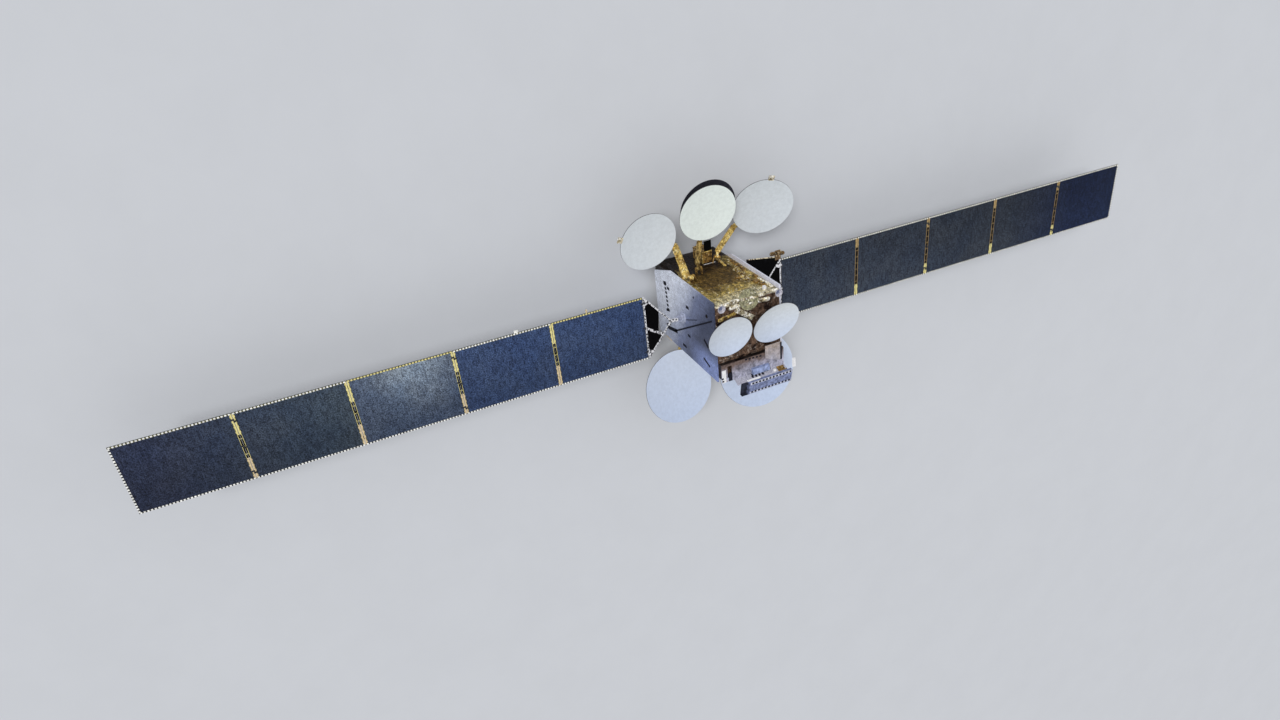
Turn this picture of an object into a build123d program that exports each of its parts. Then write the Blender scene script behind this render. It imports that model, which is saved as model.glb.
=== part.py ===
from build123d import *
from math import asin, cos, radians, sin, sqrt, tan
import os

# Large communications satellite standing on its launch ring, wings and reflectors deployed.
# Millimetres. Z points from the launch ring to the antenna deck, the solar wings lie along Y,
# X is across the two foil faces. The origin is the centre of the launch ring's lower face.

# Body
body_width_x = 2450.0          # across the edges of the two radiators
body_width_y = 2108.0          # across the outer faces of the two radiators
below_wing_axis = 1889.0       # body from its base up to the wing axis
above_wing_axis = 1972.0       # body from the wing axis up to the antenna deck
radiator_thickness = 45.0
radiator_overhang = 130.0      # radiator edge past the foil face
radiator_cut_x = 375.0         # slanted cut at the lower corner beside the west reflectors
radiator_cut_z = 1150.0
deck_thickness = 40.0

# Launch ring and main engine
ring_height = 320.0
ring_outer_radius = 833.0
ring_wall = 32.0
ring_flange_height = 24.0
ring_flange_width = 30.0
nozzle_exit_radius = 165.0
nozzle_throat_radius = 45.0
nozzle_length = 270.0
nozzle_wall = 5.0

# Solar wings
panels_per_wing = 5
panel_pitch = 2750.0
panel_width = 1987.0
panel_thickness = 30.0
panel_gap = 16.0
yoke_length = 1034.0           # from the yoke's hinge to the inner edge of the first panel
hinge_offset = 34.0            # panel hinge axis above or below the panel's middle plane
hinge_places = (-780.0, 0.0, 780.0)
knuckle_radius = 14.0
knuckle_length = 46.0
knuckle_gap = 5.0
hinge_pin_radius = 5.0
pin_clearance = 0.05
strap_length = 60.0
strap_height = 12.0

# Array drives and yokes
drive_radius = 170.0
drive_length = 60.0
drive_gap = 5.0
rotor_radius = 130.0
rotor_length = 26.0
rotor_shaft_radius = 60.0
yoke_hinge_from_side = 210.0
fork_ear_thickness = 26.0
fork_ear_radius = 45.0
fork_gap = 5.0
yoke_hub_radius = 38.0
yoke_hub_length = 100.0
yoke_pin_radius = 16.0
yoke_member_width = 44.0
yoke_neck_length = 260.0
yoke_brace_width = 70.0
yoke_brace_reach = 350.0       # where the brace meets the west arm of the north yoke
yoke_gusset_width = 300.0
yoke_gusset_length = 130.0
yoke_foil_thickness = 4.0
yoke_foil_east = 461.0         # inner edge of the yoke's film, from the tip beam, at the east arm
yoke_foil_brace = 392.0        # and at the brace
yoke_foil_west = 532.0         # and where the brace meets the west arm

# Film beside the west arm of the north yoke, its stiffening rod and the plate that holds the rod
side_plate_width = 296.0
side_plate_length = 192.0
side_rod_radius = 14.0
side_rod_tip_past_panel = 261.5
side_rod_tip_x = panel_width/2 + side_rod_tip_past_panel
side_rod_from_side = 60.0
side_rod_root_past_panel = 84.5
side_rod_root_x = panel_width/2 + side_rod_root_past_panel
side_film_root_past_panel = 6.5
side_film_root_x = panel_width/2 + side_film_root_past_panel
side_film_arm_x = 300.0

# Reflectors. Each row: name, the face it stands on (-1 west, 1 east), the side its places along Y
# are measured from (-1 south, 0 the middle, 1 north), hinge y and z, rim centre's distance out of
# the face, rim centre y and z (z from the wing axis), tilts of the rim's normal away from +Z
# towards x and y, rim radius, y of the stowed rim centre, boom width, how far round the rim the
# boom leaves it from the side nearest its hinge, and where round the rim its fitting stands.
reflector_table = [
    ("west_south", -1, -1, 219, 244, 1397, -827, -200, 10.5, 2.5, 866, 0, 190, 20, 188),
    ("west_middle", -1, 0, -340, -236, 1877, -42, 0, 13.0, -1.9, 868, 0, 130, 0, None),
    ("west_north", -1, 1, -509, -674, 1459, 988, -460, 16.6, -14.0, 932, 1000, 150, 0, 220),
    ("east_south", 1, -1, 309, -390, 1513, -158, -500, -13.2, 5.9, 1169, 100, 150, 0, None),
    ("east_north", 1, 1, -449, -566, 1645, 499, -300, -13.2, -5.9, 1275, -300, 150, 0, 232),
]
hinge_from_face = 195.0
rim_fitting_length = 150.0
rim_fitting_width = 170.0
rim_fitting_height = 30.0
reflector_focal = 2600.0
shell_wall = 18.0
backing_gap = 0.3
backing_depth = 46.0
backing_ring_share = 0.62
rib_count = 6
rib_width = 40.0
boom_depth = 90.0
boom_elbow_past_rim = 140.0
boom_barrel_radius = 52.0
boom_barrel_length = 130.0
boom_pin_radius = 18.0
bracket_ear_thickness = 26.0
bracket_plate_size = 260.0
bracket_plate_thickness = 14.0
boom_neck_length = 190.0
boom_neck_width = 84.0
bracket_gap = 5.0
rear_shell_spacing = 190.0
rear_shell_radius = 850.0
rear_shell_shift_x = -82.0     # along and across the middle boom
rear_shell_shift_y = 79.0
post_radius = 18.0

# Dishes on the antenna deck
deck_dish_table = [
    # name, face (-1 west, 0 middle) and x from it, side (-1 south, 0 middle, 1 north) and y from it,
    # height over the deck, tilt towards x, radius, mount radius, mount's x from the dish's
    ("south", 0, -268, -1, 269, 328, 14.6, 668, 60, 0),
    ("north", 0, -274, 1, -309, 328, 18.8, 712, 60, 0),
    ("west", -1, 5, 0, 10, 60, -12.0, 300, 40, 150),
]
deck_dish_focal = 800.0
deck_dish_wall = 12.0
mount_flange_width = 50.0
mount_flange_height = 14.0

# Horns at the two west corners of the deck, and the tray between them
corner_horn_from_face = 10.0
corner_horn_from_side = 120.0
corner_horn_mouth = 105.0
corner_horn_throat = 48.0
corner_horn_length = 110.0
corner_horn_post = 70.0
horn_wall = 5.0
horn_lip = 10.0
tray_length = 640.0
tray_width = 150.0
tray_height = 70.0
tray_turn = 52.5
tray_from_face = 403.0
tray_y = -136.0

# Feed platform for the east reflectors
platform_width = 555.0
platform_past_face = 100.0
platform_from_side = 9.0
platform_height = 178.0
platform_plate = 30.0
skirt_wall = 20.0
slot_from_west = 69.0
slot_edge = 45.0
slot_from_south = 180.0
slot_width = 145.0
cover_plate = 25.0
cover_corners = ((665, 609), (665, 86), (50, 98), (283, 620))   # in from the east and north faces
feed_box_width = 180.0
feed_box_edge = 5.0
feed_box_y0 = -60.0
feed_box_y1 = 480.0
feed_box_height = 100.0
trough_from_face = 400.0
trough_y = 300.0
trough_over_platform = 240.0
trough_tilt = 13.0
trough_width = 410.0
trough_length = 1620.0
trough_depth = 100.0
trough_wall = 8.0
trough_open_length = 200.0     # uncovered stretch at the south end
trough_arm_places = (-250.0, 540.0)
last_arm_from_shelf_end = 40.0
trough_arm_thickness = 30.0
trough_arm_foot = 135.0
trough_arm_elbow = 105.0
trough_arm_head = 60.0
shelf_thickness = 12.0
shelf_y0 = -620.0
shelf_rise = 200.0

# Small thrusters under the base deck
thruster_from_face = 145.0
thruster_from_side = 129.0
thruster_mouth = 46.0
thruster_throat = 18.0
thruster_length = 100.0

# Box on the west face between the middle and north booms
face_box_out = 385.0
face_box_y0 = 78.0
face_box_y1 = 420.0
face_box_z0 = -1420.0          # from the wing axis
face_box_z1 = -836.0
face_box_wall = 24.0
face_box_recess = 60.0

wing_axis_z = ring_height + below_wing_axis
deck_z = wing_axis_z + above_wing_axis
core_half_x = body_width_x/2 - radiator_overhang
core_half_y = body_width_y/2 - radiator_thickness
shelf_y1 = core_half_y - platform_from_side
last_arm_y = shelf_y1 - last_arm_from_shelf_end
yoke_hinge_y = body_width_y/2 + yoke_hinge_from_side
first_panel_y = yoke_hinge_y + yoke_length
upward = (Align.CENTER, Align.CENTER, Align.MIN)
nodes = {}


def box(x0, x1, y0, y1, z0, z1):
    return Pos((x0 + x1)/2, (y0 + y1)/2, (z0 + z1)/2)*Box(x1 - x0, y1 - y0, z1 - z0)


def rod(start, end, radius):
    start, end = Vector(*start), Vector(*end)
    along = end - start
    return Plane(origin=start, z_dir=along)*Cylinder(radius, along.length, align=upward)


def beam(start, end, width, depth, side):
    """Square-ended beam from start to end, width measured along the direction side."""
    start, end = Vector(*start), Vector(*end)
    along = end - start
    place = Plane(origin=start, z_dir=along, x_dir=side)
    return place*Box(width, depth, along.length, align=upward)


def make_body():
    base_z = ring_height
    nodes["bus_core"] = box(-core_half_x, core_half_x, -core_half_y, core_half_y,
                            base_z + deck_thickness, deck_z - deck_thickness)
    nodes["base_deck"] = box(-core_half_x, core_half_x, -core_half_y, core_half_y,
                             base_z, base_z + deck_thickness)
    nodes["antenna_deck"] = box(-core_half_x, core_half_x, -core_half_y, core_half_y,
                                deck_z - deck_thickness, deck_z)
    half_x = body_width_x/2
    outline = Polyline((-half_x, deck_z), (half_x, deck_z), (half_x, base_z),
                       (-half_x + radiator_cut_x, base_z), (-half_x, base_z + radiator_cut_z), close=True)
    for name, side in (("south_radiator", -1), ("north_radiator", 1)):
        face = make_face(Plane.XZ*outline)
        panel = extrude(face, radiator_thickness, dir=(0, 1, 0))
        y0 = core_half_y if side > 0 else -core_half_y - radiator_thickness
        nodes[name] = Pos(0, y0, 0)*panel


def make_ring_and_engine():
    tube = Pos(0, 0, 0)*Cylinder(ring_outer_radius, ring_height, align=upward)
    hole = Cylinder(ring_outer_radius - ring_wall, ring_height, align=upward)
    flange = Cylinder(ring_outer_radius + ring_flange_width, ring_flange_height,
                      align=upward)
    nodes["launch_ring"] = tube + flange - hole
    top = ring_height
    low = ring_height - nozzle_length
    outer = Line((nozzle_throat_radius, 0, top), (nozzle_exit_radius, 0, low))
    inner = Line((nozzle_throat_radius - nozzle_wall, 0, top), (nozzle_exit_radius - nozzle_wall, 0, low))
    wall = make_face([outer, inner, Line(outer @ 0, inner @ 0), Line(outer @ 1, inner @ 1)])
    nodes["main_engine_nozzle"] = revolve(wall, Axis.Z, 360)


def panel_lug(place_x, edge_y, hinge_y, hinge_z, towards, outboard):
    """One hinge knuckle with its strap; towards is +1 where the panel lies at larger y than the hinge."""
    shift = (knuckle_length + knuckle_gap)/2*(1 if outboard else -1)
    x = place_x + shift
    knuckle = Pos(x, hinge_y, hinge_z)*Rot(0, 90, 0)*Cylinder(knuckle_radius, knuckle_length)
    side = 1 if hinge_z > 0 else -1
    far_y = edge_y + towards*strap_length
    y0, y1 = min(hinge_y, far_y), max(hinge_y, far_y)
    z_skin = side*panel_thickness/2
    z_out = side*(panel_thickness/2 + strap_height)
    strap = box(x - knuckle_length/2, x + knuckle_length/2, y0, y1, min(z_skin, z_out), max(z_skin, z_out))
    lug = knuckle + strap
    if outboard:
        bore_radius = hinge_pin_radius + pin_clearance
        bore = Pos(x, hinge_y, hinge_z)*Rot(0, 90, 0)*Cylinder(bore_radius, knuckle_length*2)
        return lug - bore
    pin_end = x + knuckle_length*1.5 + knuckle_gap*2
    return lug + rod((x, hinge_y, hinge_z), (pin_end, hinge_y, hinge_z), hinge_pin_radius)


def along_arm(start, end, y):
    """Distance from the wing axis of the east arm's middle line where it passes y."""
    return start[0] + (end[0] - start[0])*(y - start[1])/(end[1] - start[1])


def arm_y(start, end, x):
    return start[1] + (end[1] - start[1])*(x - start[0])/(end[0] - start[0])


def yoke_gusset(side, start, end, tip_y):
    """Corner plate between the tip beam and one arm; start and end are the east arm's."""
    half = panel_width/2
    low = tip_y - yoke_member_width - yoke_gusset_length
    corner = Polyline((side*half, tip_y), (side*(half - yoke_gusset_width), tip_y - yoke_member_width/2),
                      (side*along_arm(start, (abs(end[0]), end[1]), low), low),
                      (side*half, tip_y - yoke_member_width), close=True)
    return extrude(make_face(corner), panel_thickness/2, both=True)


def yoke_brace(start, end, tip_y):
    """Brace from the middle of the tip beam to the west arm."""
    foot = (0, tip_y - yoke_member_width/2, 0)
    head = (-yoke_brace_reach, arm_y(start, end, yoke_brace_reach), 0)
    return beam(foot, head, panel_thickness, yoke_brace_width, (0, 0, 1))


def make_side_film(start, end, tip_y):
    """Film outboard of the west arm, its rod, and the plate on the tip beam's end that holds the rod."""
    half = panel_width/2
    plate = box(-half - side_plate_width, -half, tip_y - side_plate_length, tip_y,
                -panel_thickness/2, panel_thickness/2)
    root = (-side_rod_root_x, tip_y - side_plate_length/2, 0)
    low = body_width_y/2 + side_rod_from_side
    holder = plate + rod(root, (-side_rod_tip_x, low, 0), side_rod_radius)
    outline = Polyline((-side_rod_tip_x, low), (-side_rod_root_x, root[1]), (-half, root[1]),
                       (-half, tip_y - yoke_member_width),
                       (-side_film_arm_x, arm_y(start, end, side_film_arm_x)),
                       (-side_film_root_x, low), close=True)
    film = extrude(make_face(outline), yoke_foil_thickness/2, both=True)
    return film, holder


def make_wing_half():
    """Yoke and panels of the +Y wing about its own axis, before it is placed."""
    pieces = {}
    tip_y = first_panel_y - panel_gap
    half = panel_width/2
    member = yoke_member_width
    neck_y = yoke_hinge_y + yoke_neck_length
    tip_beam = box(-half, half, tip_y - member, tip_y, -panel_thickness/2, panel_thickness/2)
    neck = box(-yoke_hub_length/2, yoke_hub_length/2, yoke_hinge_y, neck_y,
               -panel_thickness/2, panel_thickness/2)
    hub = Pos(0, yoke_hinge_y, 0)*Rot(0, 90, 0)*Cylinder(yoke_hub_radius, yoke_hub_length)
    frame = tip_beam + neck + hub
    for side in (-1, 1):
        start = (side*(yoke_hub_length/2 - member/2), neck_y - member, 0)
        end = (side*(half - member/2), tip_y - member/2, 0)
        arm = beam(start, end, panel_thickness, member, (0, 0, 1))
        frame += arm
        frame += yoke_gusset(side, start, end, tip_y)
    frame += yoke_brace(start, end, tip_y)
    frame -= Pos(0, yoke_hinge_y, 0)*Rot(0, 90, 0)*Cylinder(yoke_pin_radius + pin_clearance, yoke_hub_length*2)
    hinge_y = first_panel_y - panel_gap/2
    for place in hinge_places:
        frame += panel_lug(place, tip_y, hinge_y, hinge_offset, -1, False)
    pieces["yoke_frame"] = frame
    wide = half - member*1.6
    east_x = along_arm(start, end, tip_y - yoke_foil_east)
    brace_x = yoke_brace_reach*yoke_foil_brace/(tip_y - arm_y(start, end, yoke_brace_reach))
    west_x = along_arm(start, end, tip_y - yoke_foil_west)
    foil_outline = Polyline((-wide, tip_y - member), (wide, tip_y - member), (east_x, tip_y - yoke_foil_east),
                            (-brace_x, tip_y - yoke_foil_brace), (-west_x, tip_y - yoke_foil_west), close=True)
    foil = extrude(make_face(foil_outline), yoke_foil_thickness/2, both=True)
    pieces["yoke_foil"] = foil - frame
    side_film, side_rod = make_side_film(start, end, tip_y)
    pieces["side_film"] = side_film - frame - side_rod
    pieces["side_rod"] = side_rod
    for number in range(1, panels_per_wing + 1):
        y0 = first_panel_y + (number - 1)*panel_pitch
        y1 = y0 + panel_pitch - panel_gap
        panel = box(-half, half, y0, y1, -panel_thickness/2, panel_thickness/2)
        inner_side = 1 if number % 2 == 1 else -1
        for place in hinge_places:
            panel += panel_lug(place, y0, y0 - panel_gap/2, inner_side*hinge_offset, 1, True)
            if number < panels_per_wing:
                panel += panel_lug(place, y1, y1 + panel_gap/2, -inner_side*hinge_offset, -1, False)
        pieces[f"panel_{number}"] = panel
    return pieces


def make_drives():
    half_y = body_width_y/2
    housing = Cylinder(drive_radius, drive_length, align=upward)
    housing -= Cylinder(rotor_shaft_radius + pin_clearance, drive_length, align=upward)
    shaft_length = drive_length + drive_gap + rotor_length
    ear_length = yoke_hinge_y - half_y - drive_length
    rotor = Pos(0, 0, drive_gap)*Cylinder(rotor_radius, rotor_length, align=upward)
    rotor += Pos(0, 0, -drive_length)*Cylinder(rotor_shaft_radius, shaft_length, align=upward)
    for side in (-1, 1):
        x = side*(yoke_hub_length/2 + fork_gap + fork_ear_thickness/2)
        ear = Pos(x, 0, ear_length)*Rot(0, 90, 0)*Cylinder(fork_ear_radius, fork_ear_thickness)
        ear += Pos(x, 0, drive_gap + (ear_length - drive_gap)/2)*Box(fork_ear_thickness, fork_ear_radius*2,
                                                                    ear_length - drive_gap)
        rotor += ear
    pin_length = yoke_hub_length + 2*fork_gap + 2*fork_ear_thickness
    rotor += Pos(0, 0, ear_length)*Rot(0, 90, 0)*Cylinder(yoke_pin_radius, pin_length)
    return housing, rotor


def place_wings():
    housing, rotor = make_drives()
    half = make_wing_half()
    for name, turn in (("north", 0), ("south", 180)):
        at_root = Pos(0, 0, wing_axis_z)*Rot(0, 0, turn)
        on_face = at_root*Pos(0, body_width_y/2, 0)*Rot(-90, 0, 0)
        nodes[f"{name}_drive_housing"] = on_face*housing
        nodes[f"{name}_drive_rotor"] = on_face*Pos(0, 0, drive_length)*rotor
        for piece, solid in half.items():
            if name == "north" or not piece.startswith("side_"):
                nodes[f"{name}_{piece}"] = at_root*solid


def tilted_normal(tilt_x, tilt_y):
    return Vector(tan(radians(tilt_x)), tan(radians(tilt_y)), 1).normalized()


def stow_turn(hinge, centre, normal, stowed_y):
    """Axis and angle of the one turn that lays a deployed reflector flat against its face."""
    facing = Vector(1 if hinge.X < 0 else -1, 0, 0)
    reach = centre - hinge
    height = normal.dot(reach)
    in_plane = reach.length**2 - height**2
    across = stowed_y - hinge.Y
    stowed = Vector(facing.X*height, across, sqrt(in_plane - across**2))
    axis = (normal - facing).cross(reach - stowed).normalized()
    flat = reach - axis*axis.dot(reach)
    flat_stowed = stowed - axis*axis.dot(stowed)
    angle = flat.get_angle(flat_stowed)
    if axis.dot(flat.cross(flat_stowed)) < 0:
        axis = axis*-1
    return axis, angle


def cap(radius, depth, wall):
    """Shallow round shell open towards +Z, its rim circle in the plane z = 0."""
    bend = (radius**2 + depth**2)/(2*depth)
    half = asin(radius/bend)

    def at(reach, share):
        return (reach*sin(half*share), 0, bend - depth - reach*cos(half*share))

    front = ThreePointArc(at(bend, 0), at(bend, 0.5), at(bend, 1))
    back = ThreePointArc(at(bend + wall, 0), at(bend + wall, 0.5), at(bend + wall, 1))
    wall_face = make_face([front, back, Line(front @ 0, back @ 0), Line(front @ 1, back @ 1)])
    return revolve(wall_face, Axis.Z, 360)


def backing(radius, depth):
    """Ring and ribs behind a shell, still full up to its rim plane."""
    ring_radius = radius*backing_ring_share
    low = -depth - shell_wall - backing_depth
    frame = Pos(0, 0, low)*Cylinder(ring_radius + rib_width/2, -low, align=upward)
    frame -= Pos(0, 0, low)*Cylinder(ring_radius - rib_width/2, -low, align=upward)
    for number in range(rib_count):
        rib = Pos(ring_radius/2, 0, low/2)*Box(ring_radius, rib_width, -low)
        frame += Rot(0, 0, 360/rib_count*(number + 0.5))*rib
    return frame


def rim_ball(radius, depth):
    """Ball that fills a reflector up to its front face."""
    bend = (radius**2 + depth**2)/(2*depth)
    return Pos(0, 0, bend - depth)*Sphere(bend)


def shell_back_ball(radius, depth):
    """Ball that fills the shell and the small gap behind it."""
    bend = (radius**2 + depth**2)/(2*depth)
    return Pos(0, 0, bend - depth)*Sphere(bend + shell_wall + backing_gap)


def reflector_places(row):
    """Hinge, rim centre, rim normal and the direction in the rim's plane towards the hinge."""
    face, side, hinge_y, hinge_z, out, centre_y, centre_z, tilt_x, tilt_y = row[1:10]
    hinge = Vector(face*(core_half_x + hinge_from_face), side*core_half_y + hinge_y, hinge_z + wing_axis_z)
    centre = Vector(face*(core_half_x + out), side*core_half_y + centre_y, centre_z + wing_axis_z)
    normal = tilted_normal(tilt_x, tilt_y)
    reach = hinge - centre
    towards = (reach - normal*normal.dot(reach)).normalized()
    return hinge, centre, normal, towards


def rim_plane(centre, normal, towards, turn):
    """Plane of the rim, its x axis turned about the normal from the direction given."""
    turned = towards*cos(radians(turn)) + normal.cross(towards)*sin(radians(turn))
    return Plane(origin=centre, x_dir=turned, z_dir=normal)


def make_reflector(row):
    name, radius, stowed_y, boom_width, boom_round, fitting_at = row[0], *row[10:]
    hinge, centre, normal, towards = reflector_places(row)
    axis, angle = stow_turn(hinge, centre, normal, stowed_y)
    place = rim_plane(centre, normal, towards, boom_round)
    depth = radius**2/(4*reflector_focal)
    shell = cap(radius, depth, shell_wall)
    if fitting_at is not None:
        fitting = Box(rim_fitting_length, rim_fitting_width, rim_fitting_height,
                      align=(Align.MIN, Align.CENTER, Align.MIN))
        fitting = Pos(radius - shell_wall, 0, -rim_fitting_height)*fitting - rim_ball(radius, depth)
        shell += Rot(0, 0, fitting_at)*fitting
    nodes[f"{name}_reflector"] = place*shell
    back = -depth - shell_wall - backing_depth/2
    elbow = Vector(radius + boom_elbow_past_rim, 0, back)
    inner_end = Vector(radius*backing_ring_share, 0, back)
    frame = backing(radius, depth)
    frame += beam(inner_end, elbow, boom_width, backing_depth, (0, 1, 0))
    frame -= shell_back_ball(radius, depth)
    if name == "west_middle":
        frame += rear_shell_posts(radius, depth)
    boom = place*frame
    elbow_there = place.from_local_coords(elbow)
    across = place.y_dir
    leaving = elbow_there - hinge
    leaving = (leaving - axis*axis.dot(leaving)).normalized()
    neck_end = hinge + leaving*boom_neck_length
    boom += beam(hinge, neck_end, boom_neck_width, boom_depth, axis)
    boom += beam(neck_end, elbow_there, boom_width, boom_depth, across)
    boom += Plane(origin=neck_end, z_dir=axis)*Cylinder(boom_depth*0.62, boom_width)
    boom += Plane(origin=elbow_there, z_dir=across)*Cylinder(boom_depth/2, boom_width)
    boom += Plane(origin=hinge, z_dir=axis)*Cylinder(boom_barrel_radius, boom_barrel_length)
    boom -= Plane(origin=hinge, z_dir=axis)*Cylinder(boom_pin_radius + pin_clearance, boom_barrel_length*2)
    nodes[f"{name}_boom"] = boom
    nodes[f"{name}_bracket"] = hinge_bracket(hinge, axis)
    return hinge, axis, angle


def hinge_bracket(hinge, axis):
    """Two ears and the pin that carry a boom, standing on a plate on the foil face."""
    past = boom_barrel_length/2 + bracket_gap
    ears = Plane(origin=hinge, z_dir=axis)*Cylinder(boom_pin_radius, 2*(past + bracket_ear_thickness))
    inward = Vector(1 if hinge.X < 0 else -1, 0, 0)
    down = (inward - axis*axis.dot(inward)).normalized()
    to_face = (abs(hinge.X) - core_half_x)/abs(down.X)
    run = to_face + boom_barrel_radius*2
    for side in (-1, 1):
        middle = hinge + axis*(side*(past + bracket_ear_thickness/2))
        ear_place = Plane(origin=middle, x_dir=down, z_dir=axis)
        ears += ear_place*Cylinder(boom_barrel_radius, bracket_ear_thickness)
        bar = Box(run, boom_barrel_radius*2, bracket_ear_thickness, align=(Align.MIN, Align.CENTER, Align.CENTER))
        ears += ear_place*bar
    foot = hinge + down*to_face
    half = bracket_plate_size/2
    x0, x1 = sorted((foot.X, foot.X - inward.X*bracket_plate_thickness))
    ears += box(x0, x1, foot.Y - half, foot.Y + half, foot.Z - half, foot.Z + half)
    return ears - box(-core_half_x, core_half_x, -core_half_y*2, core_half_y*2, 0, deck_z)


def rear_shell_posts(radius, depth):
    """Stand-offs from the backing ring of the middle reflector to its rear shell."""
    rear_depth = rear_shell_radius**2/(4*reflector_focal)
    rear_bend = (rear_shell_radius**2 + rear_depth**2)/(2*rear_depth)
    low = -rear_shell_spacing - rear_depth
    top = -depth - shell_wall - backing_depth/2
    ring_radius = radius*backing_ring_share
    posts = Part()
    for number in range(rib_count):
        post = Pos(ring_radius, 0, low)*Cylinder(post_radius, top - low, align=upward)
        posts += Rot(0, 0, 360/rib_count*(number + 0.5))*post
    inside = Pos(rear_shell_shift_x, rear_shell_shift_y, rear_bend - rear_depth - rear_shell_spacing)
    return posts & (inside*Sphere(rear_bend - backing_gap))


def make_rear_shell():
    row = next(r for r in reflector_table if r[0] == "west_middle")
    hinge, centre, normal, towards = reflector_places(row)
    place = rim_plane(centre, normal, towards, 0)
    depth = rear_shell_radius**2/(4*reflector_focal)
    shift = Pos(rear_shell_shift_x, rear_shell_shift_y, -rear_shell_spacing)
    nodes["west_middle_rear_reflector"] = place*shift*cap(rear_shell_radius, depth, shell_wall)


def make_deck_dishes():
    for row in deck_dish_table:
        name, face, from_face, side, from_side, height, tilt_x, radius, mount_radius, mount_shift = row
        x = face*core_half_x + from_face
        y = side*core_half_y + from_side
        depth = radius**2/(4*deck_dish_focal)
        normal = tilted_normal(tilt_x, 0)
        centre = Vector(x, y, deck_z + height)
        shell = Plane(origin=centre, z_dir=normal)*cap(radius, depth, deck_dish_wall)
        nodes[f"{name}_deck_dish"] = shell
        mount_x = x + mount_shift
        flange = Pos(mount_x, y, deck_z)*Cylinder(mount_radius + mount_flange_width, mount_flange_height,
                                                  align=upward)
        post = rod((mount_x, y, deck_z), (mount_x, y, centre.Z), mount_radius) + flange
        bend = (radius**2 + depth**2)/(2*depth)
        ball = Pos(0, 0, bend - depth)*Sphere(bend + deck_dish_wall + backing_gap)
        nodes[f"{name}_deck_dish_mount"] = post - Plane(origin=centre, z_dir=normal)*ball


def open_cone(throat, mouth, length, wall, lip):
    """Closed at its throat in the plane z = 0, open towards +Z, with a flat lip at the mouth."""
    inner = mouth - wall
    outline = Polyline((0, 0, 0), (throat, 0, 0), (mouth, 0, length - wall), (mouth + lip, 0, length - wall),
                       (mouth + lip, 0, length), (inner, 0, length), (throat - wall, 0, wall), (0, 0, wall),
                       close=True)
    return revolve(make_face(outline), Axis.Z, 360)


def make_deck_horns():
    x = -core_half_x + corner_horn_from_face
    for name, side in (("south", -1), ("north", 1)):
        y = side*(core_half_y - corner_horn_from_side)
        post = rod((x, y, deck_z), (x, y, deck_z + corner_horn_post), corner_horn_throat*0.7)
        cone = open_cone(corner_horn_throat, corner_horn_mouth, corner_horn_length, horn_wall, horn_lip)
        nodes[f"{name}_corner_horn"] = post + Pos(x, y, deck_z + corner_horn_post)*cone
    tray = Box(tray_length, tray_width, tray_height, align=upward)
    nodes["west_feed_tray"] = Pos(-core_half_x + tray_from_face, tray_y, deck_z)*Rot(0, 0, tray_turn)*tray


def make_feed_platform():
    x1 = core_half_x + platform_past_face
    x0 = x1 - platform_width
    y1 = core_half_y - platform_from_side
    slot_y0 = slot_from_south - y1
    top = deck_z + platform_height
    low = top - platform_plate
    plate = box(x0, x1, -y1, y1, low, top)
    nodes["feed_platform"] = plate - box(x0 + slot_from_west, x1 - slot_edge,
                                         slot_y0, slot_y0 + slot_width, low, top)
    skirt = box(x0, core_half_x, -y1, y1, deck_z, low)
    skirt -= box(x0 + skirt_wall, core_half_x - skirt_wall, -y1 + skirt_wall, y1 - skirt_wall, deck_z, low)
    nodes["feed_platform_skirt"] = skirt
    outline = Polyline(*((core_half_x - x, core_half_y - y) for x, y in cover_corners), close=True)
    nodes["north_cover_plate"] = Pos(0, 0, top)*extrude(make_face(outline), cover_plate)
    feed_box_x1 = x1 - shelf_thickness - feed_box_edge
    nodes["feed_box"] = box(feed_box_x1 - feed_box_width, feed_box_x1, feed_box_y0, feed_box_y1,
                            top, top + feed_box_height)
    trough_x = core_half_x + trough_from_face
    place = Pos(trough_x, trough_y, top + trough_over_platform)*Rot(0, trough_tilt, 0)
    block = place*Box(trough_width, trough_length, trough_depth, align=(Align.CENTER, Align.CENTER, Align.MAX))
    hollow = Pos(0, -trough_wall, -trough_wall)*Box(trough_width - 2*trough_wall, trough_length,
                                                    trough_depth - 2*trough_wall,
                                                    align=(Align.CENTER, Align.CENTER, Align.MAX))
    opening = Pos(0, -trough_length/2, trough_wall)*Box(trough_width - 2*trough_wall, trough_open_length,
                                                       trough_depth, align=(Align.CENTER, Align.MIN, Align.MAX))
    nodes["feed_trough"] = block - place*hollow - place*opening
    edge_x = trough_x - trough_width/2
    reach = Polyline((x1 - trough_arm_foot, 0, top), (x1, 0, top),
                     (edge_x + trough_arm_elbow, 0, top + trough_over_platform*0.55),
                     (edge_x + trough_arm_head, 0, top + trough_over_platform),
                     (edge_x, 0, top + shelf_rise), close=True)
    web = extrude(make_face(reach), trough_arm_thickness/2, both=True)
    sheet = Polyline((x1 - shelf_thickness, shelf_y0, top), (x1, shelf_y0, top),
                     (edge_x, shelf_y0, top + shelf_rise),
                     (edge_x - shelf_thickness, shelf_y0, top + shelf_rise), close=True)
    arms = extrude(make_face(sheet), shelf_y1 - shelf_y0, dir=(0, 1, 0))
    for place_y in (*trough_arm_places, last_arm_y):
        arms += Pos(0, place_y, 0)*web
    nodes["feed_trough_arms"] = arms - block


def make_face_box():
    """Closed box on the west face, its deck side a tray with a rim."""
    x0, x1 = -core_half_x - face_box_out, -core_half_x
    z0, z1 = wing_axis_z + face_box_z0, wing_axis_z + face_box_z1
    block = box(x0, x1, face_box_y0, face_box_y1, z0, z1)
    tray = box(x0 + face_box_wall, x1 - face_box_wall,
               face_box_y0 + face_box_wall, face_box_y1 - face_box_wall, z1 - face_box_recess, z1)
    nodes["west_face_box"] = block - tray


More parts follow.
